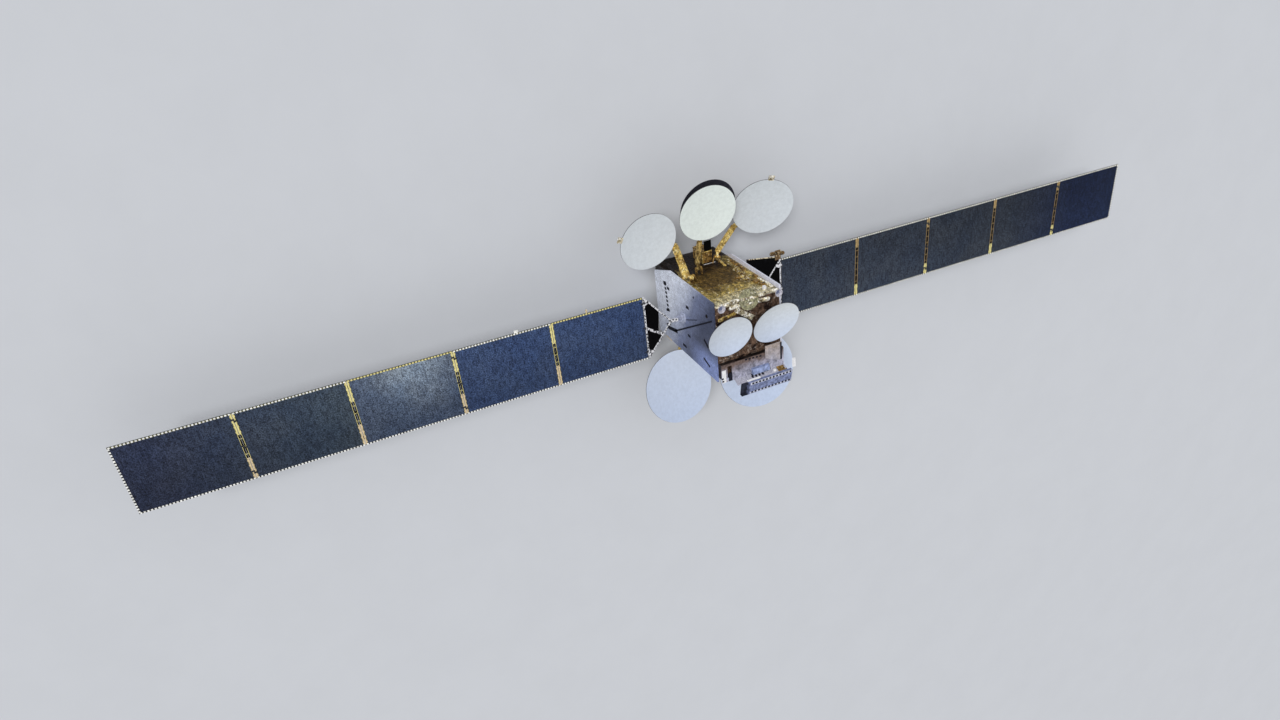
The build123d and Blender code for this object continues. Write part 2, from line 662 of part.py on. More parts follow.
def make_thrusters():
    cones = Part()
    for side_x in (-1, 1):
        for side_y in (-1, 1):
            cone = open_cone(thruster_throat, thruster_mouth, thruster_length, horn_wall, 0.5)
            cones += Pos(side_x*(core_half_x - thruster_from_face), side_y*(core_half_y - thruster_from_side),
                         ring_height)*Rot(180, 0, 0)*cone
    nodes["base_thrusters"] = cones


make_body()
make_ring_and_engine()
place_wings()
joint_lines = {row[0]: make_reflector(row) for row in reflector_table}
make_rear_shell()
make_deck_dishes()
make_deck_horns()
make_feed_platform()
make_face_box()
make_thrusters()

os.makedirs("parts", exist_ok=True)
for node_name, solid in nodes.items():
    export_step(solid, f"parts/{node_name}.step")
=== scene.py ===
"""Looks, light and camera for a communications satellite standing on its launch ring.

Metres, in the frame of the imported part: Z from the launch ring to the antenna deck, Y along the
wings, X across the two foil faces. Each operator dresses one group of like pieces.
"""

import bpy
import numpy as np
from bpy.props import FloatProperty, FloatVectorProperty, IntProperty, PointerProperty
from mathutils import Matrix, Vector


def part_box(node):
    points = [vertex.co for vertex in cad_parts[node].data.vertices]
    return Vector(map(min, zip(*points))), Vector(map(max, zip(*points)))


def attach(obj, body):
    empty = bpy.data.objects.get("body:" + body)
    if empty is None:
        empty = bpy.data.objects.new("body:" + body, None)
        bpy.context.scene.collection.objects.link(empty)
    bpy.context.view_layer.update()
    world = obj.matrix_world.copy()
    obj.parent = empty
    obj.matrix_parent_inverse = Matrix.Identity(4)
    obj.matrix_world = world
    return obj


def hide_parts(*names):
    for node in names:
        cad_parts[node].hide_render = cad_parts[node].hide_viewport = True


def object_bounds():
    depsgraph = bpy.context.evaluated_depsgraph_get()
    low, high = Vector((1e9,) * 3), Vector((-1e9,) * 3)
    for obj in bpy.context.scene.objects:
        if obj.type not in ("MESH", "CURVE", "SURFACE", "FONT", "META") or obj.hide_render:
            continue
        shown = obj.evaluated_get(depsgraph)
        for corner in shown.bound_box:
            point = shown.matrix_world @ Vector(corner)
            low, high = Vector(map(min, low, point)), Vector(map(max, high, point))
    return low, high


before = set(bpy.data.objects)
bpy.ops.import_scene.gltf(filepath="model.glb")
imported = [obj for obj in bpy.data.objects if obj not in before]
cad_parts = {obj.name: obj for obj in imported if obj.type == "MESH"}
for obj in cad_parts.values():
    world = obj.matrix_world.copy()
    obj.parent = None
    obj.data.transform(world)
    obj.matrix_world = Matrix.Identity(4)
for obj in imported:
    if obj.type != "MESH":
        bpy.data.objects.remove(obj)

bl_info = {
    "name": "Communications satellite looks",
    "version": (1, 1, 0),
    "blender": (4, 5, 0),
    "location": "View3D > Sidebar > Satellite",
    "description": "Foil, tiles, solar cells, dishes and small fittings for the satellite",
    "category": "Object",
}

UP = (0, 0, 1)
CAD_LOW, CAD_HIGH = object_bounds()
# Heights of the wings' axis, the base deck, the antenna deck and the feed platform; half widths of the
# body over the foil faces, over its core and over the radiators.
WING_Z = 2.209
BASE_Z = 0.32
DECK_Z = 4.181
PLATFORM_Z = 4.359
FOIL_X = 1.095
CORE_Y = 1.009
SIDE_Y = 1.054
# Solar panels: half width, inner end of the first, step from one to the next, gap, upper face.
PANEL_HALF_X = 0.9935
PANEL_FIRST_Y = 2.298
PANEL_PITCH = 2.75
PANEL_GAP = 0.016
PANEL_TOP = WING_Z + 0.015
WINGS = (("south", -1.0), ("north", 1.0))
PANELS = range(1, 6)
# Stubs on the panels' west edge: body, finish, how far the middle is out from the edge, y, size.
STUBS = (("south_panel_2", "edge_cover", 0.035, -6.02, (0.085, 0.11, 0.026)),
         ("south_panel_1", "tape_beige", 0.05, -3.98, (0.11, 0.045, 0.022)))
# The third panel as shares of the wing's length, with a short fade at each end, and the middle (x, y)
# and reach of the painted glint on the south one, a sun glint painted into the cells' colour.
THIRD_PANEL = (0.397, 0.402, 0.597, 0.602)
PAINTED_GLINT_AT = (-0.99, -8.9)
PAINTED_GLINT_REACH = 2.0

# Rim centre, tilts of the rim's normal towards x and y in degrees, rim radius, hinge, front finish.
REFLECTORS = {
    "west_south": ((-2.492, -1.836, 2.009), (10.5, 2.5), 0.866, (-1.29, -0.79, 2.453), "dish_grey"),
    "west_middle": ((-2.972, -0.042, 2.209), (13.0, -1.9), 0.868, (-1.29, -0.34, 1.973), "dish_green"),
    "west_north": ((-2.554, 1.997, 1.749), (16.6, -14.0), 0.932, (-1.29, 0.5, 1.535), "dish_grey"),
    "east_south": ((2.608, -1.167, 1.709), (-13.2, 5.9), 1.169, (1.29, -0.7, 1.819), "dish_blue"),
    "east_north": ((2.74, 1.508, 1.909), (-13.2, -5.9), 1.275, (1.29, 0.56, 1.643), "dish_blue"),
}
# Focal length and wall of the reflectors and of the deck dishes, and points from middle to rim.
REFLECTOR_FORM = (2.6, 0.018)
DECK_DISH_FORM = (0.8, 0.012)
SHELL_STEPS = 22
# Fittings on rims: size outwards, along the rim and through it, and where round the rim they stand, in
# degrees from the side nearest the hinge.
RIM_FITTINGS = {
    "west_south": (0.15, 0.17, 0.03, 208.0),
    "west_north": (0.15, 0.17, 0.03, 220.0),
    "east_north": (0.125, 0.3, 0.03, 232.0),
}
RIM_OVERLAP = 0.03
# The rear shell: rim radius, and its place from the middle west reflector's along that one's axes.
REAR_RADIUS = 0.85
REAR_SHIFT = (-0.082, 0.079, -0.19)
# Rim centre, tilt towards x in degrees, rim radius, front finish.
DECK_DISHES = {
    "south": ((-0.268, -0.74, DECK_Z + 0.328), 14.6, 0.668, "dish_deck_south"),
    "north": ((-0.274, 0.7, DECK_Z + 0.328), 18.8, 0.712, "dish_deck"),
    "west": ((-1.09, 0.01, DECK_Z + 0.06), -12.0, 0.3, "bowl"),
}

# Rolls of film on the west foil face and the deck: start and end (how far out from that face, y, z),
# radius, finish.
ROLLS = {
    "west_deck_edge": ((0.005, -0.99, DECK_Z), (0.005, 0.99, DECK_Z), 0.08, "pale_film"),
    "west_deck_second": ((-0.13, -0.62, DECK_Z + 0.01), (-0.17, 0.7, DECK_Z + 0.01), 0.085, "pale_film"),
    "west_deck_third": ((-0.3, -0.3, DECK_Z + 0.01), (-0.42, -0.95, DECK_Z + 0.01), 0.075, "gold_film"),
    "west_south_edge": ((0.01, -0.949, 1.9), (0.01, -0.949, 4.05), 0.065, "gold_film"),
    "west_south_root": ((0.03, -0.6, 1.28), (0.03, -0.86, 2.05), 0.07, "boom_film"),
    # A dark roll beside the south boom's root: painted shadow of the boom.
    "west_south_boom_shadow": ((0.02, -0.8, 0.75), (0.02, -0.93, 1.75), 0.08, "dark_film"),
    "west_middle_dark": ((0.01, -0.44, 1.15), (0.01, -0.5, 1.95), 0.07, "dark_film"),
    "west_north_root": ((0.03, 0.63, 1.2), (0.03, 0.56, 1.95), 0.06, "boom_film"),
    "west_north_edge": ((-0.02, 0.709, 2.2), (-0.03, 0.589, 3.2), 0.15, "gold_film"),
    "west_north_low": ((-0.01, 0.879, 1.6), (-0.01, 0.869, 2.6), 0.09, "bracket_film"),
    "west_north_upper": ((0.01, 0.909, 3.05), (0.01, 0.929, 4.0), 0.07, "pale_film"),
    "east_deck_edge": ((-1.64, -0.96, DECK_Z + 0.005), (-1.64, 0.36, DECK_Z + 0.005), 0.07, "deck_film"),
}

# Strips of a joint: distance from it and width, both in tape widths, finish (None for the band's own),
# thickness, and pitch and share of a broken strip. TAPE is a strip with olive beside it and bits of its
# own over the olive; LINES are a black band with pale bits over it and a pale line beside it.
TAPE = ((0.5, 1.0, None, 0.004, 0, 1), (1.22, 0.4, "olive", 0.003, 0, 1),
        (1.22, 0.4, None, 0.005, 0.13, 0.35))
LINES = ((0.45, 0.9, "black_film", 0.003, 0, 1), (0.3, 0.35, None, 0.005, 0.19, 0.16),
         (1.06, 0.28, None, 0.004, 0, 1))
# Bands along a joint: from x, to x, own finish, strips.
JOINT_BANDS = {
    "south": ((-0.97, -0.36, "tape_yellow", TAPE), (-0.36, 0.34, "tape_yellow", LINES),
              (0.34, 0.97, "tape_beige", TAPE)),
    "north": ((-0.97, -0.66, "tape_brown", TAPE), (-0.66, 0.6, "tape_brown", LINES),
              (0.6, 0.97, "tape_yellow", TAPE)),
}

# Dark strips and plates on the south radiator: start x z, end x z, width, pitch (0 for one whole piece).
# The two long slanted lines, the fifth row and the eighth with the ninth, are painted shadow.
RADIATOR_MARKS = (
    ((-0.71, 1.056), (0.235, 1.146), 0.105, 0.125),
    ((-0.73, 1.04), (-0.63, 1.065), 0.19, 0),
    ((-0.62, 1.27), (-0.53, 1.27), 0.15, 0),
    ((0.17, 1.11), (0.24, 1.13), 0.23, 0),
    ((0.786, 1.46), (-0.652, 4.058), 0.048, 0),
    ((0.842, 1.0), (0.7, 1.68), 0.12, 0),
    ((0.77, 0.94), (0.64, 1.24), 0.07, 0),
    ((0.647, 1.116), (0.157, 2.012), 0.03, 0.085),
    ((0.157, 2.012), (-0.292, 3.118), 0.018, 0),
    ((-0.5, 2.53), (-0.41, 2.53), 0.17, 0),
    ((0.45, 2.515), (0.52, 2.515), 0.15, 0),
    ((0.94, 2.143), (1.02, 2.143), 0.22, 0),
    ((0.162, 3.491), (0.317, 3.742), 0.085, 0),
    ((0.809, 3.397), (0.93, 3.757), 0.065, 0),
    ((-0.98, 2.98), (-0.94, 3.02), 0.055, 0),
)
# The radiator's port and the knob on the shelf: (radius, height) from the middle of the back, up the
# outside, to the middle of the front.
PORT_AT = (-0.682, -SIDE_Y - 0.0005, 3.759)
PORT_PROFILE = ((0, 0), (0.055, 0), (0.055, 0.012), (0.03, 0.012), (0.03, 0.003), (0, 0.003))
ROUND_SIDES = 24
KNOB_SIDES = 20
KNOB_PROFILE = ((0, 0), (0.05, 0), (0.05, 0.03), (0.03, 0.045), (0, 0.045))
# Box fittings: name, finish, slot, then the centre and size of each box.
BOXES = (
    ("south_radiator_edge_bracket", "beige_part", "radiator", ((1.232, -1.04, 1.0), (0.03, 0.05, 0.38))),
    ("west_face_white_post", "white_part", "foil", ((-1.153, 0.665, 3.965), (0.11, 0.085, 0.085))),
    ("west_face_brown_mounts", "bracket_film", "foil", ((-1.13, 0.735, 3.42), (0.07, 0.15, 0.17)),
     ((-1.125, 0.78, 3.66), (0.05, 0.12, 0.12)), ((-1.125, 0.26, 3.75), (0.05, 0.14, 0.1)),
     ((-1.125, 0.44, 2.88), (0.05, 0.1, 0.16)), ((-1.13, 0.9, 3.1), (0.06, 0.08, 0.22))),
    ("west_face_box_bar", "white_part", "foil", ((-1.107, 0.27, 1.475), (0.024, 0.39, 0.03))),
    ("platform_white_plate", "white_part", "deck_foil", ((0.995, -0.935, 4.363), (0.39, 0.125, 0.008))),
)
# Dark gaps and dots on the feed platform: start x y, end x y, height over it, width, thickness, pitch.
PLATFORM_ROWS = (
    ((0.93, -0.735), (1.19, -0.735), 0.004, 0.115, 0.006, 0),
    ((1.01, -0.985), (1.185, -0.965), 0.006, 0.05, 0.012, 0.07),
    ((0.665, -0.28), (0.7, 0.3), 0.004, 0.045, 0.006, 0.11),
    ((0.44, 0.9), (0.995, 0.9), 0.03, 0.048, 0.008, 0),
    ((1.185, -0.12), (1.185, 0.46), 0.06, 0.012, 0.07, 0.09),
)
# A horn's throat plate: its two faces below the horn's mouth, and its radius.
THROAT_DEPTHS = (0.075, 0.07)
THROAT_RADIUS = 0.058
# The sloped shelf beside the trough: its lower edge, and the way from there to the upper one.
SHELF_FOOT = np.array([1.195, 0.0, PLATFORM_Z + 0.012])
SHELF_RISE = np.array([0.095, 0.0, 0.188])
SHELF_HALF_THICK = 0.012

# The camera's place and the ways back and up from it, and the way to the key light.
CAMERA_AT = (-11.1208, -10.0915, 22.3199)
CAMERA_BACK = (-0.4904, -0.3055, 0.8162)
CAMERA_UP = (-0.8658, 0.2781, -0.416)
SUN_WAY = (-0.42, -0.45, 0.79)
SUN_SPREAD = np.radians(18)
FLOOR_SIZE = (320, 320, 0.02)
FLOOR_Z = -0.011

# Creased films: light and dark colour, number and depth of creases, patches, and for some the colour of
# pale spots, which are painted highlights, their share of the noise, and how metallic they are.
FILMS = {
    "gold_film": ((0.66, 0.47, 0.13), (0.1, 0.05, 0.015), 16, 0.012, 7, (0.72, 0.66, 0.52), 0.58, 0.5),
    "boom_film": ((0.85, 0.62, 0.19), (0.3, 0.17, 0.035), 15, 0.012, 5.5, (0.95, 0.82, 0.48), 0.6, 0.5),
    # A darker copy of the boom film: painted shade on the middle boom.
    "boom_brown": ((0.58, 0.41, 0.14), (0.1, 0.06, 0.02), 15, 0.012, 7, (0.9, 0.76, 0.42), 0.64, 0.5),
    "pale_film": ((0.72, 0.64, 0.44), (0.16, 0.12, 0.06), 13, 0.014, 6, (1.0, 0.97, 0.88), 0.53),
    "deck_film": ((0.17, 0.105, 0.072), (0.016, 0.009, 0.008), 10, 0.02, 4, (0.45, 0.38, 0.33), 0.63),
    "dark_film": ((0.04, 0.03, 0.028), (0.006, 0.005, 0.006), 14, 0.01, 5),
    "bracket_film": ((0.42, 0.25, 0.07), (0.06, 0.035, 0.018), 22, 0.006, 9, (0.85, 0.7, 0.4), 0.64),
    "rod_film": ((0.24, 0.14, 0.055), (0.016, 0.01, 0.008), 22, 0.006, 14,
                 (0.8, 0.72, 0.5), 0.62),
    "bowl": ((0.34, 0.33, 0.2), (0.17, 0.16, 0.1), 18, 0.006, 7, (0.8, 0.78, 0.66), 0.63, 0.1),
}
# Satin skins: colour, roughness, speckle, and for some grain, specular level, how metallic.
SATINS = {
    "panel_back": ((0.03, 0.032, 0.04), 0.5, 0.25),
    "tape_yellow": ((0.74, 0.66, 0.28), 0.5, 0.2, 22),
    "tape_beige": ((0.64, 0.51, 0.31), 0.5, 0.3, 22),
    "tape_brown": ((0.42, 0.29, 0.13), 0.5, 0.3, 22),
    "olive": ((0.13, 0.125, 0.055), 0.6, 0.3, 30),
    "black_film": ((0.0025, 0.0025, 0.003), 0.8, 0.3, 14, 0.03),
    "edge_cover": ((0.82, 0.82, 0.79), 0.5, 0.25, 8),
    "edge_shade": ((0.025, 0.025, 0.025), 0.6, 0.2),
    "drive_white": ((0.4, 0.43, 0.55), 0.6, 0.25, 24),
    "radiator_white": ((0.72, 0.73, 0.84), 0.5, 0.12, 16),
    "dish_back": ((0.09, 0.09, 0.1), 0.6, 0.2),
    "blue_plate": ((0.27, 0.33, 0.54), 0.6, 0.35, 9),
    "throat": ((0.16, 0.18, 0.28), 0.6, 0.25, 20),
    "rim": ((0.5, 0.52, 0.62), 0.6, 0.25, 16),
    "horn": ((0.52, 0.51, 0.57), 0.5, 0.35, 22),
    "white_part": ((0.8, 0.8, 0.82), 0.5, 0.12, 20),
    "lilac_part": ((0.42, 0.42, 0.5), 0.5, 0.25, 26),
    "beige_part": ((0.62, 0.52, 0.38), 0.5, 0.25, 26),
    "dark_part": ((0.012, 0.013, 0.022), 0.6, 0.3, 30, 0.1),
    "metal": ((0.5, 0.51, 0.54), 0.5, 0.12, 14, 0.2, 0.4),
    "nozzle": ((0.2, 0.17, 0.15), 0.4, 0.15, 14, 0.2, 0.8),
}
# Skins of two colours: axis, where the change begins and ends, the two colours, grain, speckle.
ZONED = {
    "platform": ("X", 0.7, 1.0, (0.12, 0.085, 0.075), (0.34, 0.34, 0.43), 7, 0.5),
    "cream_plate": ("X", 0.45, 1.02, (0.36, 0.3, 0.27), (0.38, 0.38, 0.46), 9, 0.3),
    "trough": ("Y", -0.34, -0.26, (0.02, 0.024, 0.04), (0.185, 0.22, 0.38), 10, 0.5),
}
# Finishes of the CAD nodes: the single ones, each wing's side's, each reflector's, and the one boom that
# differs, a darker copy of the boom film that is painted shade.
NODE_FINISHES = {
    "bus_core": "foil", "base_deck": "foil", "antenna_deck": "deck_film", "south_radiator": "radiator",
    "north_radiator": "radiator_white", "launch_ring": "metal", "main_engine_nozzle": "nozzle",
    "base_thrusters": "nozzle", "feed_platform": "platform", "feed_platform_skirt": "dark_film",
    "north_cover_plate": "cream_plate", "feed_box": "blue_plate", "feed_trough": "trough",
    "feed_trough_arms": "lilac_part", "west_feed_tray": "pale_film", "west_face_box": "bracket_film",
    "west_middle_rear_reflector": "dark_shell", "west_deck_dish": "bowl",
    "west_deck_dish_mount": "gold_film", "north_side_film": "black_film", "north_side_rod": "warm_rod",
}
SIDE_FINISHES = {
    "drive_housing": "drive_white", "drive_rotor": "drive_white", "yoke_frame": "rod",
    "yoke_foil": "black_film", "deck_dish": "dish_deck", "deck_dish_mount": "metal", "corner_horn": "horn",
}
REFLECTOR_FINISHES = {"reflector": "dish_grey", "boom": "boom_film", "bracket": "bracket_film"}
# The middle boom in painted shade.
OTHER_BOOM = {"west_middle_boom": "boom_brown"}


def grid_faces(rows, columns, wrap=False):
    """Corner numbers of the quads of a rows by columns grid of points, row after row. With wrap
    the last column joins the first."""
    across = columns if wrap else columns - 1
    i, j = np.meshgrid(np.arange(rows - 1), np.arange(across), indexing="ij")
    here, beside = i*columns + j, i*columns + (j + 1) % columns
    return np.stack([here, beside, beside + columns, here + columns], -1).reshape(-1, 4)


def ring_faces(rings, sides):
    """Faces of a closed skin of rings between two end points, numbered first point, rings, last point.
    They look outwards where the rings' turn, seen along the way from first to last, is clockwise."""
    step = np.arange(sides)
    following = (step + 1) % sides
    base = 1 + (rings - 1)*sides
    first_fan = np.stack([np.zeros(sides, int), following + 1, step + 1], -1)
    last_fan = np.stack([np.full(sides, base + sides), base + step, base + following], -1)
    quads = grid_faces(rings, sides, wrap=True) + 1
    return [tuple(face) for faces in (first_fan, quads, last_fan) for face in faces]


def mesh_piece(name, shape, finishes, body="bus", face_finishes=None, smooth=False):
    """An object at the origin with this shape, its points and faces, riding on a CAD body."""
    points, faces = shape
    mesh = bpy.data.meshes.new(name)
    mesh.from_pydata(np.asarray(points, float).tolist(), [], [list(map(int, face)) for face in faces])
    for finish in finishes:
        mesh.materials.append(finish_named(finish))
    if face_finishes is not None:
        mesh.polygons.foreach_set("material_index", np.asarray(face_finishes, np.int32))
    mesh.polygons.foreach_set("use_smooth", np.full(len(mesh.polygons), smooth))
    mesh.update()
    piece = bpy.data.objects.new(name, mesh)
    bpy.context.scene.collection.objects.link(piece)
    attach(piece, body)
    return piece


def tilted_normal(tilt_x, tilt_y):
    """Unit normal whose slopes towards x and y are the tangents of the two tilts."""
    normal = np.array([np.tan(np.radians(tilt_x)), np.tan(np.radians(tilt_y)), 1.0])
    return normal/np.linalg.norm(normal)


def local_axes(normal, towards):
    """Three unit axes: x along towards laid flat across the normal, y square to both, and the normal."""
    x = towards - normal*normal.dot(towards)
    x = x/np.linalg.norm(x)
    return np.array([x, np.cross(normal, x), normal])


def turned_profile(profile, sides, centre, axes):
    """A profile of (radius, height) pairs, first and last on the axis, turned about it. The two ends
    become single points and every other pair a ring of equal steps. The profile goes up the outside."""
    profile = np.asarray(profile, float)
    x, y, z = np.asarray(axes, float)
    turn = np.linspace(0, 2*np.pi, sides, endpoint=False)
    rings = profile[1:-1]
    spokes = np.cos(turn)[:, None]*x + np.sin(turn)[:, None]*y
    ring_points = rings[:, 0, None, None]*spokes[None] + rings[:, 1, None, None]*z
    points = np.concatenate([[profile[0, 1]*z], ring_points.reshape(-1, 3), [profile[-1, 1]*z]])
    return points + np.asarray(centre), ring_faces(len(rings), sides)


def shell_profile(radius, depth, wall, steps):
    """Back from the middle to the rim and front back to the middle, both arcs of one centre: the height
    at an angle a is the arc's lift less its radius times cos a, and its distance out the radius times
    sin a."""
    bend = (radius**2 + depth**2)/(2*depth)
    angle = np.arcsin(radius/bend)*np.linspace(0, 1, steps)
    back, front = (np.stack([reach*np.sin(angle), bend - depth - reach*np.cos(angle)], -1)
                   for reach in (bend + wall, bend))
    return np.concatenate([back, front[::-1]])


def crumple(a, b, seed, longest, shortest):
    """Height from 0 to 1 of a crumpled film: triangle waves of random headings, their lengths in even
    ratios from longest to shortest, each bent sideways by a slow sine and as high as it is long."""
    waves, sway, pace = 16, 0.22, 1.4
    random = np.random.default_rng(seed)
    height = np.zeros_like(a)
    for length in np.geomspace(longest, shortest, waves):
        heading, phase, bend = random.uniform(0, 2*np.pi, 3)
        across = b*np.cos(heading) - a*np.sin(heading)
        along = a*np.cos(heading) + b*np.sin(heading) + sway*length*np.sin(pace*across/length + bend)
        height += length*np.abs((along/length + phase) % 2 - 1)
    return (height - height.min())/np.ptp(height)


def crumpled_sheet(corner, edge_u, edge_v, pitch, lift, seed):
    """A rectangle of film on a flat face: a grid over the two edges, lifted along their cross product by
    0.3 + 0.7 of the crumple height, and let down to just under the face along its border."""
    longest, shortest, least, hem, tuck = 0.55, 0.05, 0.3, 0.06, 0.001
    corner, edge_u, edge_v = np.array([corner, edge_u, edge_v], float)
    width, height = np.linalg.norm(edge_u), np.linalg.norm(edge_v)
    normal = np.cross(edge_u, edge_v)/(width*height)
    rows, columns = int(height/pitch) + 2, int(width/pitch) + 2
    v, u = np.meshgrid(np.linspace(0, height, rows), np.linspace(0, width, columns), indexing="ij")
    hold = np.clip(np.minimum.reduce([u, width - u, v, height - v])/hem, 0, 1)
    rise = hold*(least + (1 - least)*crumple(u, v, seed, longest, shortest))*lift - (1 - hold)*tuck
    points = corner + u[..., None]*edge_u/width + v[..., None]*edge_v/height + rise[..., None]*normal
    return points.reshape(-1, 3), grid_faces(rows, columns)


def crumpled_roll(start, end, radius, pitch, seed):
    """A lumpy roll of film from start to end: at turn t and distance v its radius is the roll's own times
    0.45 + 0.55 of the crumple height over (cos t, sin t, v), and closes at both ends as a circle does."""
    least, end_gap, lean_a, lean_b = 0.45, 0.001, 0.4, 0.9
    start, end = np.array([start, end], float)
    length = np.linalg.norm(end - start)
    axes = local_axes((end - start)/length, np.array([0.3, 0.5, 0.8]))
    sides, rows = max(12, int(2*np.pi*radius/pitch)), int(length/pitch) + 2
    turn = np.linspace(0, 2*np.pi, sides, endpoint=False)
    v, turn = np.meshgrid(np.linspace(end_gap, 1 - end_gap, rows)*length, turn, indexing="ij")
    around, beside = (2*radius*wave(turn) for wave in (np.cos, np.sin))
    rough = crumple(around + lean_a*v, beside + lean_b*v, seed, 6*radius, radius/2)
    close = np.sqrt(1 - np.clip(1 - np.minimum(v, length - v)/radius, 0, 1)**2)
    reach = (radius*(least + (1 - least)*rough)*close)[..., None]
    spokes = np.cos(turn)[..., None]*axes[0] + np.sin(turn)[..., None]*axes[1]
    rings = start + v[..., None]*axes[2] + reach*spokes
    return np.concatenate([[start], rings.reshape(-1, 3), [end]]), ring_faces(rows, sides)


def blocks(centres, sizes, axes=None):
    """Boxes about the given centres, sizes along the axes, as one set of points and outward quads."""
    centres = np.atleast_2d(np.asarray(centres, float))
    sizes = np.broadcast_to(np.asarray(sizes, float), centres.shape)
    axes = np.eye(3) if axes is None else np.asarray(axes, float)
    corners = np.array([[x, y, z] for z in (-0.5, 0.5) for y in (-0.5, 0.5) for x in (-0.5, 0.5)])
    points = centres[:, None] + (corners[None]*sizes[:, None]) @ axes
    quads = np.array([[0, 2, 3, 1], [4, 5, 7, 6], [0, 1, 5, 4], [2, 6, 7, 3], [0, 4, 6, 2], [1, 3, 7, 5]])
    faces = quads[None] + 8*np.arange(len(centres))[:, None, None]
    return points.reshape(-1, 3), faces.reshape(-1, 4)


def block_row(start, end, width, thick, normal=UP, pitch=0.0, share=0.55):
    """Flat blocks along a line on a face: one whole block, or with a pitch as many equal blocks as fit,
    each its share of a step long."""
    start, end, normal = np.array([start, end, normal], float)
    length = np.linalg.norm(end - start)
    along = (end - start)/length
    count = max(int(length/pitch), 1) if pitch else 1
    step = length/count
    centres = start + (np.arange(count)[:, None] + 0.5)*step*along
    size = (step*share if pitch else length, width, thick)
    return blocks(centres, size, [along, np.cross(normal, along), normal])


def joined(parts):
    """Several (points, faces) sets as one."""
    points, faces, start = [], [], 0
    for some_points, some_faces in parts:
        points.append(np.asarray(some_points))
        faces += [tuple(int(c) + start for c in face) for face in some_faces]
        start += len(some_points)
    return np.concatenate(points), faces


class Finish:
    """A material being wired: its node tree, its shader, and short ways to add nodes."""

    def __init__(self, name, colour, roughness, metallic=0.0, specular=0.2):
        self.material = bpy.data.materials.new(name.replace("_", " "))
        self.material.use_nodes = True
        self.nodes = self.material.node_tree.nodes
        self.links = self.material.node_tree.links
        self.shader = self.nodes["Principled BSDF"]
        levels = {"Roughness": roughness, "Metallic": metallic, "Specular IOR Level": specular}
        for key, value in {"Base Color": (*colour, 1), **levels}.items():
            self.shader.inputs[key].default_value = value
        self.place = self.nodes.new("ShaderNodeTexCoord").outputs["Object"]
        self.axes = self.add("ShaderNodeSeparateXYZ", {"Vector": self.place}).outputs

    def add(self, kind, inputs, **settings):
        node = self.nodes.new(kind)
        for key, value in settings.items():
            setattr(node, key, value)
        for key, value in inputs.items():
            if isinstance(value, bpy.types.NodeSocket):
                self.links.new(value, node.inputs[key])
            else:
                node.inputs[key].default_value = value
        return node

    def math(self, operation, first, second=0.0):
        return self.add("ShaderNodeMath", {0: first, 1: second}, operation=operation).outputs[0]

    def plus(self, first, second):
        return self.math("ADD", first, second)

    def times(self, first, second):
        return self.math("MULTIPLY", first, second)

    def noise(self, scale, detail=3.0, roughness=0.6):
        inputs = {"Vector": self.place, "Scale": scale, "Detail": detail, "Roughness": roughness}
        return self.add("ShaderNodeTexNoise", inputs).outputs["Fac"]

    def jitter(self, scale, detail, amount):
        """A noise about zero, times the amount."""
        return self.times(self.math("SUBTRACT", self.noise(scale, detail), 0.5), amount)

    def ramp(self, factor, stops):
        node = self.add("ShaderNodeValToRGB", {"Fac": factor})
        band = node.color_ramp
        while len(band.elements) < len(stops):
            band.elements.new(0.5)
        for element, (position, colour) in zip(band.elements, stops):
            element.position = position
            element.color = (*colour, 1)
        return node.outputs["Color"]

    def grey_ramp(self, factor, stops):
        return self.ramp(factor, [(position, (level, level, level)) for position, level in stops])

    def span(self, value, low, high, first=0.0, last=1.0):
        """From first to last as the value goes from low to high, and no further."""
        inputs = {"Value": value, "From Min": low, "From Max": high, "To Min": first, "To Max": last}
        return self.add("ShaderNodeMapRange", inputs).outputs["Result"]

    def mix(self, factor, first, second, blend="MIX"):
        first, second = (v if isinstance(v, bpy.types.NodeSocket) else (*v, 1) for v in (first, second))
        node = self.add("ShaderNodeMix", {0: factor, 6: first, 7: second}, data_type="RGBA", blend_type=blend)
        return node.outputs[2]

    def tint(self, colour, by, share=1.0):
        return self.mix(share, colour, by, "MULTIPLY")

    def grain(self, colour, scale, low, high):
        """The colour times a fine noise between the two levels."""
        return self.tint(colour, self.grey_ramp(self.noise(scale, 3.0, 0.7), ((0.36, low), (0.64, high))))

    def bricks(self, place, first, second, joint, size, gap, offset):
        """Bricks of two shades with joints between them, the gap a share of a row's height."""
        inputs = {"Vector": place, "Color1": (*first, 1), "Color2": (*second, 1), "Mortar": (*joint, 1),
                  "Scale": 1.0, "Mortar Size": size[1]*gap, "Brick Width": size[0], "Row Height": size[1]}
        return self.add("ShaderNodeTexBrick", inputs, offset=offset).outputs["Color"]

    def beads(self, light, dark, scale, share):
        """Light film with dark gaps where a noise is under the given share."""
        return self.ramp(self.noise(scale, 1.0, 0.4), ((share - 0.03, dark), (share + 0.03, light)))

    def crease(self, scale, depth):
        """Bump of creased film: the distances to two sets of random cells."""
        heights = [self.add("ShaderNodeTexVoronoi", {"Vector": self.place, "Scale": s}).outputs["Distance"]
                   for s in (scale, scale*2.7)]
        inputs = {"Height": self.mix(0.4, *heights), "Strength": 0.8, "Distance": depth}
        self.links.new(self.add("ShaderNodeBump", inputs).outputs[0], self.shader.inputs["Normal"])

    def done(self, colour):
        self.links.new(colour, self.shader.inputs["Base Color"])
        return self.material


def satin_finish(name, colour, roughness, speckle, grain=14, specular=0.2, metallic=0):
    """Plain satin skin with a faint speckle."""
    mat = Finish(name, colour, roughness, metallic, specular)
    return mat.done(mat.grain(colour, grain, 1 - speckle, 1 + speckle))


